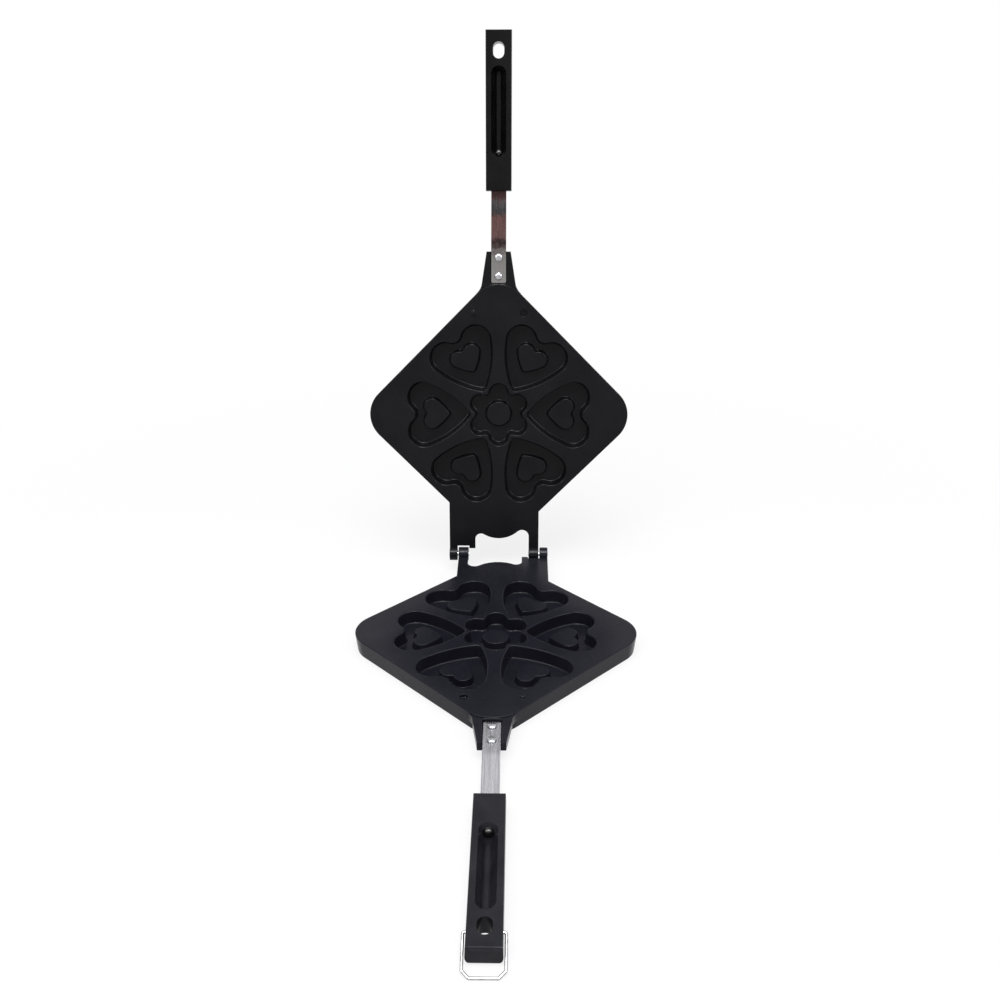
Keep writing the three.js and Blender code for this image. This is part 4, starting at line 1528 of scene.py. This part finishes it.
@dataclass
class HandleFixing:
    """The moulded handle with its screw, washer and nut."""

    half: Half
    hinge: Hinge
    moulding: MouldedHandle
    steel: SlotShadeSteel
    axis_height: float = -8.2
    screw_start: float = 388.26
    screw_radius: float = 1.75
    head_seat: float = 400.56
    head_radius: float = 3.4
    head_height: float = 2.6
    head_steps: int = 7
    screw_chamfer: float = 0.3
    screw_steps: int = 36
    recess_radius: float = 1.3
    recess_depth: float = 1.3
    recess_ease: tuple[Span, Span] = ((0.15, 0.12), (0.0, 0.35))
    recess_taper: float = 0.7
    washer_start: float = 399.36
    washer_end: float = 400.26
    washer_radius: float = 3.8
    washer_rounding: float = 0.15
    washer_play: float = 0.3
    washer_steps: int = 40
    grip_rounding: float = 0.7
    grip_segments: int = 4

    def on_axis(self, label: str, profile: Profile, steps: int) -> bpy.types.Object:
        """A turned piece on the screw's axis."""
        name, origin = f"{self.half.value}_{label}", Vector((0.0, 0.0, self.axis_height))
        return lathed(name, profile, origin, ALONG_Y, steps, self.hinge.place(self.half))

    def screw(self) -> bpy.types.Object:
        """The screw with a rounded head and a recess.

        Returns:
            The screw.
        """
        seat, height, radius = self.head_seat, self.head_height, self.head_radius
        start, shank, chamfer = self.screw_start, self.screw_radius, self.screw_chamfer
        profile = [(0.0, start), (shank - chamfer, start), (shank, start + chamfer), (shank, seat)]
        for step in range(self.head_steps):
            turn = math.pi / 2 * step / self.head_steps
            profile.append((radius * math.cos(turn), seat + height * math.sin(turn)))
        for wider, lower in self.recess_ease:
            profile.append((self.recess_radius + wider, seat + height - lower))
        floor = seat + height - self.recess_depth
        profile += [(self.recess_radius * self.recess_taper, floor), (0.0, floor)]
        return self.on_axis("slot_screw", profile, self.screw_steps)

    def washer(self) -> bpy.types.Object:
        """The flat washer under the screw's head.

        Returns:
            The washer.
        """
        inside, outside = self.screw_radius + self.washer_play, self.washer_radius
        low, high, rounding = self.washer_start, self.washer_end, self.washer_rounding
        profile = [
            (inside, low),
            (outside - rounding, low),
            (outside, low + rounding),
            (outside, high - rounding),
            (outside - rounding, high),
            (inside, high),
            (inside, low),
        ]
        return self.on_axis("slot_washer", profile, self.washer_steps)

    def build(self) -> list[bpy.types.Object]:
        """Builds the handle and its fixing.

        Returns:
            The handle, the screw and the washer.
        """
        name, steel = self.half.value, self.steel.material()
        rounding, segments = self.grip_rounding, self.grip_segments
        body = RefinedPart(f"{name}_handle", f"{name}_grip", rounding, segments).build()
        dress(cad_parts[f"{name}_tang_nut"], steel)
        return [
            mounted(body, self.moulding.material(), name, f"{name}_handle"),
            mounted(self.screw(), steel, name, f"{name}_handle_screw"),
            mounted(self.washer(), steel, name, f"{name}_screw_washer"),
        ]


@dataclass
class HingePins:
    """The two short pins of the hinge."""

    hinge: Hinge
    finish: RolledSteel
    radius: float = 2.2
    inside: float = 30.7
    outside: float = 51.3
    chamfer: float = 0.4
    ease: float = 0.3
    steps: int = 32

    def build(self) -> list[bpy.types.Object]:
        """Builds both pins; the left one rides on the upper half.

        Returns:
            The two pins.
        """
        steel, place, pieces = self.finish.material(), self.hinge.place(Half.LOWER), []
        length, radius, rim = self.outside - self.inside, self.radius, self.chamfer
        ease = rim * self.ease
        near = [(0.0, 0.0), (radius - rim, 0.0), (radius - ease, ease), (radius, rim)]
        profile = near + [(reach, length - travel) for reach, travel in reversed(near)]
        for start, label, body in (
            (self.inside, "left", "upper"),
            (-self.outside, "right", "lower"),
        ):
            origin = Vector((start, 0.0, 0.0))
            pin = lathed(f"pin_{label}", profile, origin, ALONG_X, self.steps, place)
            pieces.append(mounted(pin, steel, body, f"hinge_pin_{label}"))
        return pieces


@dataclass
class LatchBail:
    """The wire loop that is pivoted in the lower handle."""

    hinge: Hinge
    finish: ChromedSteel
    wire: float = 1.1
    handle_end: float = 510.06
    handle_rounding: float = 2.5
    handle_outside: float = 17.55
    pivot_reach: float = 494.46
    pivot_height: float = -5.6
    half_width: float = 14.2
    tip: float = 8.6
    chamfer: float = 4.6
    pass_gap: float = 0.9
    drop: float = 11.0
    bend: float = 1.4
    sides: int = 20
    bend_steps: int = 10

    def leg(self) -> float:
        """Distance from the pivot to the crossbar.

        Returns:
            The distance.
        """
        reach = self.handle_end - self.handle_rounding - self.pivot_reach
        height = self.handle_outside - self.handle_rounding - self.pivot_height
        return math.hypot(reach, height) + self.handle_rounding + self.wire + self.pass_gap

    def corners(self) -> Outline:
        """The corners of the wire's centre line.

        Returns:
            The corners, from one end to the other.
        """
        leg, half, cut = self.leg(), self.half_width, self.chamfer
        right = [(self.tip, 0.0), (half, 0.0), (half, leg - cut), (half - cut, leg)]
        return [Vector(p) for p in right] + [Vector((-x, y)) for x, y in reversed(right)]

    def build(self) -> bpy.types.Object:
        """Bends the wire by turns of extruding and spinning one ring.

        Returns:
            The wire.
        """
        sheet, corners = Sheet(), self.corners()
        mesh, here = sheet.mesh, Vector((*corners[0], 0.0))
        towards = Matrix.Rotation(math.pi / 2, 4, "Y")
        made = bmesh.ops.create_circle(
            mesh,
            cap_ends=False,
            segments=self.sides,
            radius=self.wire,
            matrix=Matrix.Translation(here) @ towards,
        )
        ring = list({edge for vert in made["verts"] for edge in vert.link_edges})
        caps = [list(ring)]
        for index in range(1, len(corners)):
            end = corners[index]
            way = (end - here.xy).normalized()
            turn, trim = 0.0, 0.0
            if index < len(corners) - 1:
                turn = way.angle_signed(corners[index + 1] - end)
                trim = self.bend * math.tan(abs(turn) / 2)
            step = (end - here.xy).length - trim
            verts, ring = extruded(mesh, ring)
            shift = Vector((*(way * step), 0.0))
            bmesh.ops.translate(mesh, verts=verts, vec=shift)
            here += shift
            if turn:
                ring, here = self.bent(mesh, ring, verts, here, way, turn)
        caps.append(ring)
        for cap in caps:
            bmesh.ops.edgeloop_fill(mesh, edges=cap)
        droop = -math.asin(self.drop / self.leg())
        seat = Matrix.Translation((0.0, self.pivot_reach, self.pivot_height))
        place = self.hinge.place(Half.LOWER) @ seat @ Matrix.Rotation(droop, 4, "X")
        piece = sheet.finish("bail_wire", place)
        return mounted(piece, self.finish.material(), "bail", "latch_bail")

    def bent(
        self,
        mesh: bmesh.types.BMesh,
        ring: Edges,
        verts: list[bmesh.types.BMVert],
        here: Vector,
        way: Vector,
        turn: float,
    ) -> tuple[Edges, Vector]:
        """Spins a ring of the wire round one bend.

        Args:
            mesh: The wire so far.
            ring: The ring's edges.
            verts: The ring's corners.
            here: Middle of the ring.
            way: Direction of the wire, in plan.
            turn: Signed angle of the bend.

        Returns:
            The last ring and its middle.
        """
        spin = -turn
        aside = Vector((-way.y, way.x, 0.0)) * math.copysign(self.bend, spin)
        made = bmesh.ops.spin(
            mesh,
            geom=verts + ring,
            cent=here + aside,
            axis=(0.0, 0.0, 1.0),
            dvec=(0, 0, 0),
            angle=spin,
            steps=self.bend_steps,
            use_merge=False,
            use_normal_flip=False,
            use_duplicate=False,
        )["geom_last"]
        last = [item for item in made if isinstance(item, bmesh.types.BMEdge)]
        rotation = Matrix.Rotation(spin, 3, "Z")
        return last, here + aside - rotation @ aside


# Studio


@dataclass
class Softbox:
    """A square area lamp that looks at a point."""

    name: str
    place: Triple
    target: Triple
    size: float
    power: float
    highlights_only: bool = False

    def build(self) -> None:
        """Hangs the lamp."""
        lamp = bpy.data.lights.new(self.name, "AREA")
        lamp.shape = "SQUARE"
        lamp.size = self.size
        lamp.energy = self.power
        item = linked(self.name, lamp)
        look = Vector(self.target) - Vector(self.place)
        turn = look.to_track_quat("-Z", "Y").to_matrix().to_4x4()
        item.matrix_world = Matrix.Translation(self.place) @ turn
        item.visible_diffuse = not self.highlights_only


@dataclass
class Studio:
    """Pale floor, white surroundings, soft lamps and the camera."""

    hinge: Hinge
    eye: Triple = (0.02087, -1.01575, 0.56266)
    yaw: float = -0.0189
    pitch: float = -0.4575
    roll: float = -0.0036
    lens: float = 40.03
    sensor: float = 36.0
    sight: float = 30.0
    surroundings: float = 0.4
    floor_size: float = 8.0
    floor_colour: Colour = (0.9, 0.9, 0.91)
    floor_roughness: float = 0.7
    floor_reflection: float = 0.2
    floor_glow: float = 0.8
    fade_from: float = 0.35
    fade_to: float = 0.9
    boxes: list[Softbox] = field(
        default_factory=lambda: [
            Softbox("key", (-1.1, -1.0, 1.6), (0.0, 0.0, 0.1), 1.0, 8.0),
            Softbox("fill", (1.3, -0.6, 1.1), (0.0, 0.1, 0.1), 0.9, 4.0),
            Softbox("top", (0.0, -0.35, 2.0), (0.0, 0.1, 0.0), 1.4, 30.0),
            Softbox("brow", (0.05, -0.75, 1.8), (0.0, 0.0, 0.1), 0.6, 30.0, True),
            Softbox("glint_left", (-1.3, -0.9, 1.3), (0.0, 0.0, 0.1), 0.5, 14.0, True),
            Softbox("glint_right", (1.3, -0.9, 1.3), (0.0, 0.0, 0.1), 0.5, 14.0, True),
        ]
    )

    def camera(self) -> None:
        """Sets the camera where the photograph was taken from."""
        data = bpy.data.cameras.new("camera")
        data.sensor_width = self.sensor
        data.lens = self.lens
        data.clip_end = self.sight
        item = linked("camera", data)
        forward = Vector(
            (
                math.sin(self.yaw) * math.cos(self.pitch),
                math.cos(self.yaw) * math.cos(self.pitch),
                math.sin(self.pitch),
            )
        )
        level = Vector((math.cos(self.yaw), -math.sin(self.yaw), 0.0))
        above = level.cross(forward)
        right = math.cos(self.roll) * level + math.sin(self.roll) * above
        up = math.cos(self.roll) * above - math.sin(self.roll) * level
        turn = Matrix((right, up, -forward)).transposed().to_4x4()
        place = Vector(self.eye) + Vector((0.0, self.hinge.reach, self.hinge.height))
        item.matrix_world = Matrix.Translation(place) @ turn
        bpy.context.scene.camera = item

    def world(self) -> None:
        """White surroundings to the eye, and dimmer light on the object."""
        world = bpy.data.worlds.new("studio")
        world.use_nodes = True
        tree = world.node_tree
        light = tree.nodes["Background"]
        white = tree.nodes.new("ShaderNodeBackground")
        for node, strength in ((light, self.surroundings), (white, 1.0)):
            node.inputs["Color"].default_value = WHITE
            node.inputs["Strength"].default_value = strength
        self.mix(tree, self.seen(tree), light, white, tree.nodes["World Output"])
        bpy.context.scene.world = world

    @staticmethod
    def mix(
        tree: bpy.types.NodeTree,
        share: Socket,
        first: bpy.types.Node,
        second: bpy.types.Node,
        output: bpy.types.Node,
    ) -> None:
        """Feeds an output with two shaders mixed by a share.

        Args:
            tree: The node tree.
            share: The second shader's share.
            first: The first shader.
            second: The second shader.
            output: The world's or the material's output.
        """
        mix = tree.nodes.new("ShaderNodeMixShader")
        tree.links.new(share, mix.inputs["Fac"])
        tree.links.new(first.outputs[0], mix.inputs[1])
        tree.links.new(second.outputs[0], mix.inputs[2])
        tree.links.new(mix.outputs["Shader"], output.inputs["Surface"])

    @staticmethod
    def seen(tree: bpy.types.NodeTree) -> Socket:
        """One for rays from the camera or by reflection, zero for others.

        Args:
            tree: The node tree.

        Returns:
            The share.
        """
        path = tree.nodes.new("ShaderNodeLightPath")
        total = path.outputs["Is Camera Ray"]
        for name in ("Is Glossy Ray", "Is Transmission Ray"):
            total = combined(tree, "MAXIMUM", total, path.outputs[name])
        return total

    def floor(self) -> None:
        """A plain pale floor that keeps the object's shadow."""
        mesh = bmesh.new()
        bmesh.ops.create_grid(mesh, x_segments=1, y_segments=1, size=self.floor_size / 2)
        data = bpy.data.meshes.new("floor")
        mesh.to_mesh(data)
        mesh.free()
        floor = linked("floor", data)
        material = bpy.data.materials.new("pale_floor")
        material.use_nodes = True
        tree = material.node_tree
        shader = tree.nodes["Principled BSDF"]
        shader.inputs["Base Color"].default_value = (*self.floor_colour, 1.0)
        shader.inputs["Roughness"].default_value = self.floor_roughness
        shader.inputs["Specular IOR Level"].default_value = self.floor_reflection
        glow = tree.nodes.new("ShaderNodeEmission")
        glow.inputs["Color"].default_value = WHITE
        glow.inputs["Strength"].default_value = 1.0
        share = combined(tree, "MULTIPLY", self.seen(tree), self.fade(tree))
        self.mix(tree, share, shader, glow, tree.nodes["Material Output"])
        data.materials.append(material)

    def fade(self, tree: bpy.types.NodeTree) -> Socket:
        """The floor's share of plain white, which is whole away from the object.

        Args:
            tree: The node tree.

        Returns:
            The share.
        """
        place = tree.nodes.new("ShaderNodeTexCoord")
        length = tree.nodes.new("ShaderNodeVectorMath")
        length.operation = "LENGTH"
        tree.links.new(place.outputs["Object"], length.inputs[0])
        fade = tree.nodes.new("ShaderNodeMapRange")
        fade.interpolation_type = "SMOOTHSTEP"
        fade.inputs["From Min"].default_value = self.fade_from
        fade.inputs["From Max"].default_value = self.fade_to
        fade.inputs["To Min"].default_value = self.floor_glow
        fade.inputs["To Max"].default_value = 1.0
        tree.links.new(length.outputs["Value"], fade.inputs["Value"])
        return fade.outputs["Result"]

    def build(self) -> None:
        """Builds the whole studio."""
        self.camera()
        self.world()
        self.floor()
        for box in self.boxes:
            box.build()
        bpy.context.scene.view_settings.view_transform = "Standard"


def main() -> None:
    """Builds the iron piece by piece, then the studio."""
    logging.basicConfig(level=logging.INFO, format="%(name)s: %(message)s")
    hinge = Hinge.from_frame()
    # Both castings wear one coating: the lower copy is written lighter as painted light on the
    # lying half, the upper copy darker as painted shade on the standing half.
    top_lit_lower_coating = CoatedCasting("top_lit_lower_coating", (0.007, 0.007, 0.012), (0.013, 0.013, 0.019))
    shaded_upper_coating = CoatedCasting("shaded_upper_coating", (0.004, 0.004, 0.0052), (0.0075, 0.0075, 0.009))
    # Both handles are one thermoset: the lower copy is written lighter as painted light from above,
    # the upper copy darker as painted shade.
    thermoset = MouldedHandle("thermoset", (0.012, 0.012, 0.016), (0.02, 0.02, 0.025))
    shaded_thermoset = MouldedHandle("shaded_thermoset", (0.002, 0.002, 0.0025), (0.004, 0.004, 0.0045))
    rolled, slot_shade_finish = RolledSteel("rolled_steel", 0.0), SlotShadeSteel("slot_shade_steel")
    tinted = HeatTintedSteel.for_strap("tinted_steel", "upper_strap", -hinge.opening)
    for half, coating, strap, moulding in (
        (Half.LOWER, top_lit_lower_coating, rolled, thermoset),
        (Half.UPPER, shaded_upper_coating, tinted, shaded_thermoset),
    ):
        Casting(half, hinge, coating).build()
        StrapFixing(half, hinge, strap, rolled).build()
        HandleFixing(half, hinge, moulding, slot_shade_finish).build()
    HingePins(hinge, rolled).build()
    LatchBail(hinge, ChromedSteel("chrome")).build()
    Studio(hinge).build()


if __name__ == "__main__":
    main()
